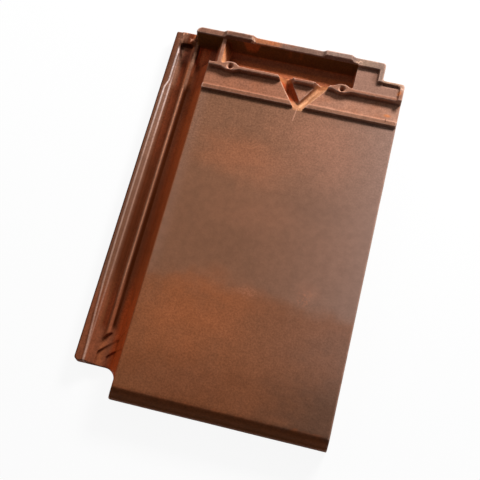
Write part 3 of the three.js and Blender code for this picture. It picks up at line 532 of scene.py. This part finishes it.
# Areas with a finish of their own: along each axis the lowest and highest place, with None where
# the area goes on, and how soft the edges are: one number for both, two for the lower and the upper
# one, or 1 mm where none is given.
AREAS = {
    "channel_floor_shade": dict(x=(-35.0, -26.5, 3.0), y=(290.0, 376.0, 50.0)),
    "ridge_end_light": dict(x=(-22.8, -18.9), y=(418.0, 432.0, 20.0, 6.0)),
    "ridge_wall_light": dict(x=(-18.9, -16.4, 0.8), y=(402.0, 426.0, 8.0)),
    "lock_end_light": dict(x=(-36.0, -22.6, 2.0), y=(420.0, 438.0, 8.0)),
    "shaded_lock": dict(x=(None, 0.0), y=(150.0, 262.0, 60.0)),
    "lock": dict(x=(None, 1.4, 2.6)),
    "line_gap": dict(x=(-45.0, -39.5, 1.5)),
    "lines": dict(y=(None, 436.0, 8.0)),
    "pocket_shadow_line": dict(y=(425.0, 442.0, 6.0)),
    "pocket_end": dict(x=(-40.0, -23.0, 2.0), y=(440.0, None)),
    "face": dict(x=(0.6, None, 1.2)),
    "band": dict(y=(379.5, None, 1.5)),
    "lock_rear": dict(y=(457.2, None, 0.6)),
    "face_rear": dict(x=(-22.0, None), y=(455.2, None, 0.8)),
    "low_rib": dict(y=(379.0, 387.5, 1.5), z=(3.0, None, 0.8)),
    "shelf": dict(x=(176.4, None), y=(413.0, None), z=(5.0, 7.9, 0.6)),
    "rib_top": dict(y=(400.0, 421.0), z=(7.5, None, 0.6)),
    "island": dict(x=(101.0, 135.5, 1.5)),
    "rim": dict(y=(424.0, None), z=(8.8, None, 0.8)),
    "rim_ember": dict(x=(56.0, 108.0, 6.0)),
    "left_chip": dict(x=(45.5, 50.5, 2.0), y=(None, 453.0, 3.0)),
    "right_chip": dict(x=(173.0, 181.0, 3.0), y=(None, 453.0, 3.0)),
    "trough": dict(x=(14.0, 176.8), y=(415.5, 451.0, 1.6, 2.0), z=(None, -1.0, 5.0)),
    "wall": dict(x=(-22.0, 177.0), y=(443.8, 451.0, 1.2, 2.0), z=(None, 8.6)),
    "wall_ember": dict(z=(-4.0, None, 8.0)),
    "wall_ring": dict(z=(-2.0, None, 6.0)),
    "web": dict(x=(11.0, 15.8, 0.6), y=(416.0, 448.0), z=(6.0, None, 1.5)),
    "web_side": dict(x=(15.6, 22.4, 0.8), y=(416.0, 447.0), z=(None, 6.5, 2.0)),
    "pit": dict(x=(-17.5, 11.0), y=(419.0, 443.8, 20.0, 1.2), z=(None, 2.0, 3.0)),
    "pit_right": dict(x=(-4.0, None, 4.0), y=(424.0, None, 4.0)),
    "pit_left": dict(x=(None, -10.0, 3.0)),
    "drain": dict(y=(376.5, 417.5, 2.0), z=(None, 1.7, 0.7)),
    "nose": dict(x=(-10.0, None)),
    "nose_roll": dict(x=(0.0, None, 2.0)),
    "right_of_edge": dict(x=(-49.6, None, 0.8)),
    "right_of_lock": dict(x=(6.0, None, 2.0)),
    "above_lock": dict(z=(2.0, None)),
    "run_off": dict(y=(362.0, 379.0, 3.0), z=(-1.0, None)),
    "dimples": dict(z=(None, 7.9, 0.5)),
}

# Soft spots on the face and at the head: centre and reach.
SPOTS = {
    "shelf_shadow": ((201.0, 437.0), (7.0, 11.0)), "wall_ring": ((101.0, 446.0), (9.0, 30.0)),
    "pit_shade": ((-2.0, 421.0), (9.0, 9.0)), "mouth_light": ((100.0, 415.5), (4.5, 4.5)),
    "orange_one": ((222.5, 392.5), (5.0, 2.4)), "orange_two": ((230.6, 420.5), (2.6, 4.0)),
    "nick": ((221.5, 385.5), (0.9, 4.0)), "scrape": ((-34.0, 453.0), (17.0, 8.0)),
    "fleck_one": ((178.0, 152.0), (11.0, 11.0)), "fleck_two": ((116.0, 145.0), (15.0, 7.0)),
}

# The V drain and the island in it: the middle of both, then each one's tip and how it widens.
DRAIN_MIDDLE = 118.5
DRAIN_TIP = 378.9
DRAIN_SLOPE = 0.7
ISLE_TIP = 387.8
ISLE_SLOPE = 0.6
# The ember on the trough's wall: its middle at a height, and how it widens upwards.
WALL_EMBER = (47.0, -2.0, 0.35)
# The run-off line's upper end and how it leans.
RUN_OFF_END = (117.6, 379.0)
RUN_OFF_LEAN = 0.09
# A dimple's pale ring, a painted highlight, and its dark floor, painted shade: their reach, and how
# far the floor is from the middle.
DIMPLE_RING = (5.0, 5.0)
DIMPLE_FLOOR = (3.7, 3.7)
DIMPLE_SHIFT = (0.7, 0.5)
# How much the underside's plain clay hides the finish.
UNDERSIDE_SHARE = 0.9

# How loud the sandy grain is: at places up the tile, and at its right edge.
GRAIN_LOUDNESS = (
    (0.0, 0.9), (110.0, 0.85), (165.0, 0.25), (252.0, 0.2), (300.0, 0.8), (350.0, 1.1))
GRAIN_RIGHT = 0.7
# How far the three sizes of grain lighten and darken the clay.
SPECKLE = 0.19
FINE = 0.08
MOTTLE = 0.07
# The relief's strength where the grain is quietest and loudest, how roughness spreads round its
# setting, and how little the clay shines.
GRAIN_STRENGTH = (0.25, 0.8)
ROUGHNESS_SPREAD = (-0.08, 0.1)
SPECULAR = 0.03


def tone(name):
    return srgb(*TONES[name])


def tones(stops):
    return [(where, srgb(*levels)) for where, levels in stops]


# How far one seed shifts a noise, and where a patch ends, as a share of its reach.
SEED_STEP = (91.0, 57.0, 23.0)
PATCH_END = 1.25


class TileGraph(Graph):
    """A graph that knows where each point lies on the tile, in mm."""

    def __init__(self, owner):
        super().__init__(owner)
        coordinates = self.node("ShaderNodeTexCoord").outputs["Object"]
        moved = self.node("ShaderNodeVectorMath", {0: coordinates, 1: tuple(FACE_ORIGIN)},
                          operation="SUBTRACT").outputs[0]
        self.place = self.node("ShaderNodeVectorMath", {0: moved, "Scale": 1.0 / MM},
                               operation="SCALE").outputs[0]
        self.x, self.y, self.z = self.node("ShaderNodeSeparateXYZ", {0: self.place}).outputs

    def noise(self, wavelength, detail, roughness, stretch=(1.0, 1.0, 1.0), seed=0.0):
        """A noise whose features are about a wavelength apart."""
        moved = self.node("ShaderNodeMapping", {
            0: self.place, "Location": tuple(seed * step for step in SEED_STEP),
            "Scale": stretch}, vector_type="POINT").outputs[0]
        return self.node("ShaderNodeTexNoise", {
            "Vector": moved, "Scale": 1.0 / wavelength, "Detail": detail,
            "Roughness": roughness}).outputs[0]

    def patch(self, centre, reach, warp=0.0, core=0.25):
        """A soft ellipse: 1 in its core, 0 a quarter beyond its reach, with its rim stirred."""
        moved = self.node("ShaderNodeVectorMath", {0: self.place, 1: (*centre, 0.0)},
                          operation="SUBTRACT").outputs[0]
        scaled = self.node("ShaderNodeVectorMath", {
            0: moved, 1: (1.0 / reach[0], 1.0 / reach[1], 0.0)}, operation="MULTIPLY").outputs[0]
        away = self.node("ShaderNodeVectorMath", {0: scaled}, operation="LENGTH").outputs[1]
        return self.ramp(self.math("ADD", away, warp), core, PATCH_END, 1.0, 0.0)

    def inside(self, name):
        """1 in a named area."""
        masks = []
        for axis, (low, high, *soft) in AREAS[name].items():
            value = getattr(self, axis)
            if low is not None:
                masks.append(self.over(value, low, *soft[:1]))
            if high is not None:
                masks.append(self.under(value, high, *soft[-1:]))
        return self.times(*masks)

    def spot(self, name):
        return self.patch(*SPOTS[name])


def face_colour(graph, clay):
    """The brown face with its drifting flames, warmer near the nose, with a painted grey sheen to
    the right and a faint one along the left edge.
    """
    drift = graph.noise(90.0, 2.0, 0.5, (0.8, 1.1, 1.0), 3.1)
    cloud = graph.noise(34.0, 3.0, 0.55, (0.9, 1.1, 1.0), 7.7)
    streak = graph.noise(30.0, 3.0, 0.55, (1.5, 0.5, 1.0), 4.2)
    warp = graph.ramp(cloud, 0.3, 0.7, -0.22, 0.22)
    level = graph.math("ADD", graph.y, graph.math("MULTIPLY", warp, 22.0))
    lower = graph.ramp(level, 126.0, 154.0, 1.0, 0.0)
    colour = graph.mix(lower, clay.base, clay.russet)
    colour = graph.mix(graph.ramp(drift, 0.5, 0.75, 0.0, 0.22), colour, clay.rose)
    colour = graph.mix(graph.ramp(streak, 0.5, 0.75, 0.0, 0.20), colour, clay.smoke)
    for finish, centre, reach, strength in FLAMES:
        flame = graph.patch(centre, reach, warp, 0.0)
        colour = graph.wash(colour, flame, getattr(clay, finish), strength)
    # Painted sheen: paler grey towards the right edge, and a faint strip along the left edge.
    share = graph.math("DIVIDE", graph.math("MAXIMUM", graph.x, 0.0), FACE_WIDTH)
    grey_sheen = graph.math("MULTIPLY", graph.math("POWER", share, 3.0), 0.84)
    grey_sheen = graph.times(grey_sheen, graph.ramp(lower, 0.0, 1.0, 1.0, 0.5),
                        graph.ramp(graph.y, 30.0, 96.0, 0.35, 1.0))
    left_sheen = graph.times(graph.ramp(graph.x, 2.0, 18.0, 0.16, 0.0),
                        graph.ramp(graph.y, 130.0, 176.0))
    return graph.mix(graph.math("MAXIMUM", grey_sheen, left_sheen), colour, clay.grey_sheen)


def lock_colour(graph, clay, colour):
    """The side lock: brown ridges, a dark channel and a gutter of bare orange clay, with painted
    shade in its corners and on the channel's lit floor, and painted light on shaded spots at its
    head.
    """
    def section(stops):
        return graph.bands(
            graph.x, [(across, getattr(clay, finish)) for across, finish in stops])

    stain_and_shadow = graph.noise(14.0, 3.0, 0.6, (1.0, 0.35, 1.0), 2.6)
    lock = section(LOCK_NEAR_NOSE)
    for stops, start, end in LOCK_CHANGES:
        lock = graph.mix(graph.ramp(graph.y, start, end), lock, section(stops))
    # Painted shade over the part of the channel's floor that the key light reaches.
    lock = graph.wash(lock, graph.inside("channel_floor_shade"), clay.rust, 0.6)
    lock = graph.mix(graph.ramp(stain_and_shadow, 0.45, 0.8, 0.0, 0.3), lock, clay.corner)
    # Painted light on the second ridge's end and right wall and on the channel's head end, which
    # lie in shade.
    for name, strength in (("ridge_end_light", 1.0), ("ridge_wall_light", 0.4), ("lock_end_light", 0.7)):
        lock = graph.wash(lock, graph.inside(name), tone(name), strength)
    lock = graph.wash(lock, graph.inside("shaded_lock"), clay.seam, 0.14)
    return graph.mix(graph.inside("lock"), colour, lock)


def pale_lines(graph, clay, colour):
    """Pale lines along the lock's first ridge, strongest near the head: rubbed arrises with a
    painted highlight on them, and a painted sheen on the strip between.
    """
    rub = graph.noise(9.0, 3.0, 0.65, (1.0, 0.4, 1.0), 8.4)
    first = graph.aside(graph.x, graph.track(graph.y, FIRST_LINE))
    second = graph.aside(graph.x, SECOND_LINE)
    lines = graph.math(
        "ADD", graph.times(graph.under(first, 1.05, 1.1), graph.track(graph.y, FIRST_STRENGTH)),
        graph.times(graph.under(second, 0.8, 1.0), graph.track(graph.y, SECOND_STRENGTH)))
    lines = graph.times(lines, graph.ramp(rub, 0.2, 0.55, 0.7, 1.0), graph.inside("lines"))
    pale = graph.mix(graph.ramp(graph.y, 280.0, 380.0), clay.worn_and_glint, tone("line_head"))
    gap = graph.times(graph.inside("line_gap"), graph.track(graph.y, GAP_STRENGTH))
    colour = graph.wash(colour, gap, tone("line_gap"))
    return graph.mix(graph.math("MINIMUM", lines, 0.97), colour, pale)


def pocket_shadow(graph, clay, colour):
    """Painted shadow in the pocket at the channel's head end: a dark line down its left wall and
    darker colour at its head end.
    """
    seam = graph.aside(graph.x, graph.track(graph.y, POCKET_LINE))
    seam = graph.times(graph.under(seam, 1.5, 1.4), graph.inside("pocket_shadow_line"))
    end = graph.times(graph.inside("pocket_end"), graph.track(graph.y, POCKET_END))
    stain_and_shadow = graph.math("MAXIMUM", graph.math("MULTIPLY", seam, 0.85), end)
    return graph.wash(colour, stain_and_shadow, clay.seam)


def band_colour(graph, clay, colour, cloud):
    """The paler band at the head, its two ribs, the shelf on the right with a painted shadow of the
    rim's step, and the plain rear face.
    """
    on_face = graph.inside("face")
    rear = graph.math("MAXIMUM", graph.inside("lock_rear"), graph.inside("face_rear"))
    band = graph.math("MAXIMUM", rear, graph.times(graph.inside("band"), on_face))
    warm = graph.mix(graph.ramp(graph.x, 70.0, 170.0), tone("band_left"), tone("band_right"))
    warm = graph.mix(graph.ramp(cloud, 0.4, 0.8, 0.0, 0.3), warm, clay.ember)
    warm = graph.mix(graph.ramp(graph.x, 216.0, 232.0, 0.0, 0.6), warm, tone("band_edge"))
    colour = graph.mix(band, colour, warm)

    low_rib = graph.times(graph.inside("low_rib"), on_face)
    colour = graph.mix(low_rib, colour, graph.mix(
        graph.ramp(graph.x, 40.0, 180.0), tone("low_rib_left"), tone("low_rib_right")))
    shelf = graph.inside("shelf")
    colour = graph.wash(colour, shelf, tone("shelf"))
    # Painted shadow of the rim's step, laid on the shelf.
    stain_and_shadow = graph.times(shelf, graph.spot("shelf_shadow"))
    colour = graph.wash(colour, stain_and_shadow, tone("shelf_shadow"), 0.7)
    top = graph.times(graph.inside("rib_top"), on_face)
    colour = graph.wash(colour, top, tone("rib_top"))
    island = graph.times(top, graph.inside("island"))
    return graph.mix(island, colour, graph.mix(
        graph.ramp(graph.x, 106.0, 124.0), tone("island_left"), tone("island_right")))


def rim_colour(graph, colour, cloud):
    """The head rim: browns along its top, ember spots at its middle, and chipped block ends."""
    crumb = graph.noise(4.0, 2.0, 0.6, seed=3.4)
    rim = graph.inside("rim")
    colour = graph.mix(rim, colour, graph.bands(graph.x, tones(RIM_TONES)))
    spots = graph.times(rim, graph.ramp(cloud, 0.52, 0.62), graph.inside("rim_ember"))
    colour = graph.wash(colour, spots, tone("rim_ember"), 0.7)
    chip = graph.math("MAXIMUM", graph.inside("left_chip"), graph.inside("right_chip"))
    chip = graph.times(chip, rim, graph.ramp(crumb, 0.42, 0.58))
    return graph.wash(colour, chip, tone("rim_chip"))


def trough_colour(graph, colour):
    """Bare clay on the trough's floor and dark slip on its back wall, with an ember and a ring."""
    colour = graph.mix(
        graph.inside("trough"), colour, graph.bands(graph.z, tones(TROUGH_TONES)))
    wall = graph.inside("wall")
    colour = graph.mix(wall, colour, graph.mix(
        graph.ramp(graph.x, 8.0, 14.0), tone("pit_wall"), tone("trough_wall")))
    middle, height, widening = WALL_EMBER
    wider = graph.math("MULTIPLY", graph.math("SUBTRACT", graph.z, height), widening)
    fold = graph.math("SUBTRACT", graph.aside(graph.x, middle), wider)
    ember = graph.times(wall, graph.under(fold, 7.0, 3.0), graph.inside("wall_ember"))
    colour = graph.wash(colour, ember, tone("wall_ember"))
    ring = graph.spot("wall_ring")
    ring = graph.times(wall, ring, graph.under(ring, 0.75, 0.4), graph.inside("wall_ring"))
    return graph.wash(colour, ring, tone("wall_ember"), 0.5)


def pit_colour(graph, colour):
    """The web beside the trough, its lit side with painted shade towards the head, and the bare pit
    at the gutter's head.
    """
    colour = graph.wash(colour, graph.inside("web"), tone("web"))
    # The web's lit side darkens towards the head as painted shade.
    colour = graph.mix(
        graph.inside("web_side"), colour, graph.bands(graph.y, tones(WEB_SIDE_TONES)))
    bare = graph.mix(graph.inside("pit_right"), tone("pit"), tone("pit_right"))
    bare = graph.wash(bare, graph.inside("pit_left"), tone("pit_left"))
    bare = graph.wash(bare, graph.spot("pit_shade"), tone("pit_shade"))
    return graph.mix(graph.inside("pit"), colour, bare)


def drain_colour(graph, clay, colour):
    """The V drain: a painted shadow of the island over the left leg, a lit right leg of pale clay
    and an orange mouth round its island, with painted light where the island's shadow falls on it.
    """
    across = graph.math("SUBTRACT", graph.x, DRAIN_MIDDLE)
    away = graph.math("ABSOLUTE", across)
    rise = graph.math("SUBTRACT", graph.y, DRAIN_TIP)
    outer = graph.math("SUBTRACT", graph.math("MULTIPLY", rise, DRAIN_SLOPE), away)
    isle = graph.math("SUBTRACT", away, graph.math(
        "MULTIPLY", graph.math("SUBTRACT", graph.y, ISLE_TIP), ISLE_SLOPE))
    leg = graph.times(graph.over(outer, -6.8), graph.over(isle, -0.2, 0.6), graph.inside("drain"))
    lit = graph.bands(isle, (
        (-0.4, tone("drain_foot")), (1.8, tone("drain_wall")), (3.2, tone("drain_lit")),
        (5.0, tone("drain_glow")), (7.5, clay.cream), (14.0, clay.cream)))
    # Painted shadow of the island over the left leg, paler at the leg's outer rim and tip.
    shaded = graph.mix(graph.over(outer, -5.0, 1.4), tone("drain_rim"), tone("drain_shade"))
    shaded = graph.mix(graph.ramp(graph.y, 385.0, 391.0), tone("drain_tip"), shaded)
    bare = graph.mix(graph.over(across, 1.0, 3.0), shaded, lit)
    mouth = graph.mix(graph.ramp(graph.x, 96.0, 140.0), tone("mouth_left"), tone("mouth_right"))
    # Painted light on the mouth's left side, where the island's shadow falls.
    mouth = graph.wash(mouth, graph.spot("mouth_light"), tone("mouth_light"))
    bare = graph.mix(graph.ramp(graph.y, 408.5, 413.0), bare, mouth)
    return graph.mix(leg, colour, bare)


def head_colour(graph, clay, colour):
    """The head: paler band and shelf, chipped rim, bare trough, web and pit, and the drain."""
    cloud = graph.noise(16.0, 3.0, 0.55, seed=5.9)
    colour = band_colour(graph, clay, colour, cloud)
    colour = rim_colour(graph, colour, cloud)
    colour = trough_colour(graph, colour)
    colour = pit_colour(graph, colour)
    return drain_colour(graph, clay, colour)


def nose_colour(graph, colour):
    """The nose: redder brown in front, and a warm line where it rolls over."""
    blotch = graph.noise(13.0, 3.0, 0.6, (0.7, 1.2, 1.0), 6.6)
    front = graph.math("ADD", graph.y, graph.ramp(blotch, 0.25, 0.75, -2.5, 2.5))
    nose = graph.times(graph.ramp(front, 6.5, 12.5, 1.0, 0.0), graph.inside("nose"))
    colour = graph.wash(colour, nose, tone("nose"))
    rolled = graph.times(graph.between(front, 4.5, 11.0, 4.0), graph.inside("nose_roll"))
    return graph.wash(colour, rolled, tone("nose_roll"), 0.22)


def marks(graph, colour):
    """Small marks: a run-off line below the drain, orange spots, a nick, flecks and a scrape."""
    end_x, end_y = RUN_OFF_END
    lean = graph.math("MULTIPLY", graph.math("SUBTRACT", end_y, graph.y), RUN_OFF_LEAN)
    run = graph.aside(graph.math("ADD", graph.x, lean), end_x)
    line = graph.times(graph.under(run, 0.55, 0.8), graph.inside("run_off"))
    colour = graph.wash(colour, line, tone("run_off"), 0.6)
    spots = graph.math("MAXIMUM", graph.spot("orange_one"), graph.spot("orange_two"))
    colour = graph.wash(colour, spots, tone("orange_spot"), 0.75)
    colour = graph.wash(colour, graph.spot("nick"), tone("nick"), 0.7)
    fleck = graph.noise(2.4, 1.0, 0.5, seed=6.1)
    spots = graph.math("MAXIMUM", graph.spot("fleck_one"), graph.spot("fleck_two"))
    fleck = graph.times(graph.ramp(fleck, 0.52, 0.60), spots)
    colour = graph.wash(colour, fleck, tone("fleck"), 0.4)
    scrape = graph.noise(4.5, 2.0, 0.6, (1.0, 0.5, 1.0), 9.3)
    scrape = graph.times(graph.ramp(scrape, 0.54, 0.64), graph.spot("scrape"))
    return graph.wash(colour, scrape, tone("scrape"), 0.9)


def dimple_colour(graph, colour):
    """The nail dimples: a pale ring as painted highlight round a darker floor as painted shade,
    which sits a little up and to the right.
    """
    hollow = graph.inside("dimples")
    ring = graph.either(graph.patch(centre, DIMPLE_RING) for centre in DIMPLES)
    colour = graph.wash(colour, graph.times(graph.ramp(ring, 0.1, 0.45), hollow),
                        tone("dimple_ring"))
    right, up = DIMPLE_SHIFT
    floor = graph.either(
        graph.patch((x + right, y + up), DIMPLE_FLOOR, 0.0, 0.6) for x, y in DIMPLES)
    return graph.wash(colour, graph.times(floor, hollow), tone("dimple_floor"))


def wear_and_painted_light(graph, clay, colour, mottle):
    """Darker slip gathered in creases, which also stands for painted shade there, and arrises
    rubbed paler, also a painted highlight, except in the lock and at its edge.
    """
    crease = graph.ramp(graph.attribute("crease"), 0.25, 1.0, 0.0, 0.45)
    colour = graph.wash(colour, crease, clay.deep)
    ragged = graph.ramp(mottle, 0.3, 0.7, 0.3, 0.7)
    off_lock = graph.math("MAXIMUM", graph.inside("right_of_lock"), graph.inside("above_lock"))
    rubbed_and_glint = graph.times(graph.ramp(graph.attribute("arris"), 0.15, 0.9), ragged, off_lock,
                         graph.inside("right_of_edge"))
    return graph.wash(colour, rubbed_and_glint, clay.worn_and_glint)


def clay_material(clay):
    """Flamed slip over bare clay, darker in hollows as painted shade, rubbed paler on arrises with
    a painted highlight, with painted light and shade at spots and a sandy grain.
    """
    material = bpy.data.materials.new("flamed_clay")
    graph = TileGraph(material)
    mottle = graph.noise(9.0, 3.0, 0.6, seed=1.9)
    speckle = graph.noise(2.3, 2.0, 0.6, seed=5.3)
    fine = graph.noise(1.0, 1.0, 0.5, seed=2.3)

    colour = face_colour(graph, clay)
    colour = lock_colour(graph, clay, colour)
    colour = head_colour(graph, clay, colour)
    colour = nose_colour(graph, colour)
    colour = pale_lines(graph, clay, colour)
    colour = wear_and_painted_light(graph, clay, colour, mottle)
    colour = pocket_shadow(graph, clay, colour)
    colour = marks(graph, colour)
    colour = dimple_colour(graph, colour)
    colour = graph.wash(colour, graph.attribute("underside"), clay.under, UNDERSIDE_SHARE)

    loud = graph.times(graph.track(graph.y, GRAIN_LOUDNESS),
                       graph.ramp(graph.x, 110.0, 236.0, 1.0, GRAIN_RIGHT))
    grit = graph.math("ADD", graph.ramp(speckle, 0.25, 0.75, -SPECKLE, SPECKLE),
                      graph.ramp(fine, 0.25, 0.75, -FINE, FINE))
    grit = graph.math("ADD", graph.math("MULTIPLY", grit, loud), 1.0)
    shade = graph.times(graph.ramp(mottle, 0.25, 0.75, 1.0 - MOTTLE, 1.0 + MOTTLE), grit)
    shaded = graph.node("ShaderNodeVectorMath", {0: colour, "Scale": shade}, operation="SCALE")

    height = graph.math("ADD", graph.math("MULTIPLY", speckle, 0.6),
                        graph.math("MULTIPLY", fine, 0.4))
    bump = graph.node("ShaderNodeBump", {
        "Height": height, "Strength": graph.ramp(loud, 0.2, 0.9, *GRAIN_STRENGTH),
        "Distance": clay.grain})
    smoothest, roughest = ROUGHNESS_SPREAD
    rough = graph.ramp(speckle, 0.2, 0.8, clay.roughness + smoothest, clay.roughness + roughest)
    surface = graph.node("ShaderNodeBsdfPrincipled", {
        "Base Color": shaded.outputs[0], "Roughness": rough, "Normal": bump.outputs[0],
        "Specular IOR Level": SPECULAR})
    graph.node("ShaderNodeOutputMaterial", {0: surface.outputs[0]})
    return material


# ---------- operators ----------

# How the skin is made: how near two corners merge, how far each softening pass goes, the press
# waves' length and octaves, and how strongly large faces keep flat shading.
MERGE_DISTANCE = 0.002 * MM
SOFTEN_SHARE = 0.5
WAVE_LENGTH = 38.0 * MM
WAVE_DETAIL = 2
FLAT_FACE_WEIGHT = 50


class TILE_OT_clay_body(bpy.types.Operator):
    """Rebuild the tile's skin with softened edges and give it the fired clay finish."""
    bl_idname = "roof_tile.clay_body"
    bl_label = "Clay body"

    def execute(self, context):
        settings = context.scene.tile_body
        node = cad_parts[TILE]
        skin = bpy.data.meshes.new("tile_skin")
        merged = bmesh.new()
        merged.from_mesh(node.data)
        bmesh.ops.remove_doubles(merged, verts=merged.verts, dist=MERGE_DISTANCE)
        merged.to_mesh(skin)
        merged.free()
        piece = link("clay_tile", skin)

        remesh = piece.modifiers.new("grain", "REMESH")
        remesh.mode = "VOXEL"
        remesh.voxel_size = settings.grain_size
        remesh.adaptivity = 0.0
        soften = piece.modifiers.new("soften", "SMOOTH")
        soften.factor = SOFTEN_SHARE
        soften.iterations = settings.softening
        bake_modifiers(piece)
        shape_skin(piece.data)
        record_curvature(piece.data)

        waves = bpy.data.textures.new("press_waves", "CLOUDS")
        waves.noise_scale = WAVE_LENGTH
        waves.noise_depth = WAVE_DETAIL
        wave = piece.modifiers.new("waves", "DISPLACE")
        wave.texture = waves
        wave.texture_coords = "LOCAL"
        wave.mid_level = 1.0
        wave.strength = settings.press_wave
        thin = piece.modifiers.new("thin", "DECIMATE")
        triangles = 2.0 * len(piece.data.polygons)
        thin.ratio = min(1.0, settings.triangles / triangles)
        bake_modifiers(piece)
        for polygon in piece.data.polygons:
            polygon.use_smooth = True
        flat = piece.modifiers.new("flat_faces", "WEIGHTED_NORMAL")
        flat.weight = FLAT_FACE_WEIGHT
        flat.keep_sharp = False
        bake_modifiers(piece)

        piece.data.materials.clear()
        piece.data.materials.append(clay_material(context.scene.clay))
        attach(piece, BODY)
        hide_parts(TILE)
        return {"FINISHED"}


# The floor: half its width and its gap below the tile in metres, and its colour in the light it
# throws back and to the camera. Then plain white, and the soft boxes' sizes in metres.
FLOOR_HALF = 6.0
FLOOR_GAP = 0.0002
FLOOR_BOUNCE = (0.6, 0.6, 0.6)
FLOOR_TO_CAMERA = (0.9, 0.9, 0.9)
WHITE = (1.0, 1.0, 1.0)
KEY_SIZE = (0.6, 0.32)
SIDE_SIZE = (0.8, 0.8)
# The camera: its sensor's width and its place in mm on the tile, and its turn by rows.
SENSOR = 36.0
CAMERA_PLACE = (205.62, -167.01, 985.84)
CAMERA_TURN = (
    (0.97031151, -0.21698829, 0.10682534),
    (0.24093603, 0.90575521, -0.34865073),
    (-0.02110449, 0.36403789, 0.931145))


def seen_mask(graph):
    """1 for the rays that see the backdrop as it is: from the camera, a gloss or through glass."""
    path = graph.node("ShaderNodeLightPath")
    return graph.either(
        path.outputs[f"Is {kind} Ray"] for kind in ("Camera", "Glossy", "Transmission"))


def floor_material(share):
    """A pale floor: most of what the camera sees is plain white, and the rest keeps the shadow."""
    material = bpy.data.materials.new("pale_floor")
    graph = Graph(material)
    seen = seen_mask(graph)
    colour = graph.mix(seen, FLOOR_BOUNCE, FLOOR_TO_CAMERA)
    plain = graph.node("ShaderNodeBsdfDiffuse", {"Color": colour})
    white = graph.node("ShaderNodeEmission", {"Color": WHITE, "Strength": 1.0})
    mixed = graph.node("ShaderNodeMixShader", {
        0: graph.math("MULTIPLY", seen, share), 1: plain.outputs[0], 2: white.outputs[0]})
    graph.node("ShaderNodeOutputMaterial", {0: mixed.outputs[0]})
    return material


def sky(strength):
    """An even white sky that lights the tile softly and is plain white behind it."""
    world = bpy.data.worlds.new("studio")
    graph = Graph(world)
    level = graph.ramp(seen_mask(graph), 0.0, 1.0, strength, 1.0)
    back = graph.node("ShaderNodeBackground", {"Color": WHITE, "Strength": level})
    graph.node("ShaderNodeOutputWorld", {0: back.outputs[0]})
    return world


def lay_floor(share):
    """A level floor just below the tile."""
    mesh = bpy.data.meshes.new("floor")
    plane = bmesh.new()
    bmesh.ops.create_grid(plane, x_segments=1, y_segments=1, size=FLOOR_HALF)
    bmesh.ops.translate(plane, verts=plane.verts, vec=(0.0, 0.0, LOW.z - FLOOR_GAP))
    plane.to_mesh(mesh)
    plane.free()
    floor = link("floor", mesh)
    floor.data.materials.append(floor_material(share))
    return floor


def soft_box(name, place, power, size):
    """A soft box that faces the origin, under the tile's middle."""
    lamp = bpy.data.lights.new(name, "AREA")
    lamp.shape = "RECTANGLE"
    lamp.energy = power
    lamp.size, lamp.size_y = size
    box = link(name, lamp)
    spot = Vector(place)
    box.matrix_world = Matrix.Translation(spot) @ spot.to_track_quat("Z", "Y").to_matrix().to_4x4()


def set_camera(focal_length):
    """The camera that looks down on the tile's face from beyond its nose."""
    lens = bpy.data.cameras.new("camera")
    lens.sensor_width = SENSOR
    lens.lens = focal_length
    camera = link("camera", lens)
    stand = Matrix(CAMERA_TURN).to_4x4()
    stand.translation = at(*CAMERA_PLACE)
    camera.matrix_world = stand
    return camera


class TILE_OT_stage(bpy.types.Operator):
    """Lay the floor, set the lights and place the camera."""
    bl_idname = "roof_tile.stage"
    bl_label = "Stage"

    def execute(self, context):
        scene = context.scene
        settings = scene.tile_stage
        scene.view_settings.view_transform = "Standard"
        floor = lay_floor(settings.floor_share)
        scene.world = sky(settings.fill)
        soft_box("key_box", settings.key_place, settings.key, KEY_SIZE)
        soft_box("side_box", settings.side_place, settings.side, SIDE_SIZE)
        scene.camera = set_camera(settings.lens)
        return {"FINISHED"}


class TILE_PT_panel(bpy.types.Panel):
    bl_idname = "TILE_PT_panel"
    bl_label = "Roof Tile"
    bl_space_type = "VIEW_3D"
    bl_region_type = "UI"
    bl_category = "Roof Tile"

    def draw(self, context):
        layout = self.layout
        for group in (context.scene.tile_body, context.scene.clay, context.scene.tile_stage):
            box = layout.box()
            for name in group.bl_rna.properties.keys():
                if name not in ("rna_type", "name"):
                    box.prop(group, name)
        layout.operator(TILE_OT_clay_body.bl_idname)
        layout.operator(TILE_OT_stage.bl_idname)


CLASSES = (
    TileBodySettings, ClaySettings, StageSettings, TILE_OT_clay_body, TILE_OT_stage, TILE_PT_panel)


def register():
    for cls in CLASSES:
        bpy.utils.register_class(cls)
    bpy.types.Scene.tile_body = PointerProperty(type=TileBodySettings)
    bpy.types.Scene.clay = PointerProperty(type=ClaySettings)
    bpy.types.Scene.tile_stage = PointerProperty(type=StageSettings)


def unregister():
    del bpy.types.Scene.tile_stage
    del bpy.types.Scene.clay
    del bpy.types.Scene.tile_body
    for cls in reversed(CLASSES):
        bpy.utils.unregister_class(cls)


def main():
    register()
    bpy.ops.roof_tile.clay_body()
    bpy.ops.roof_tile.stage()


if __name__ == "__main__":
    main()
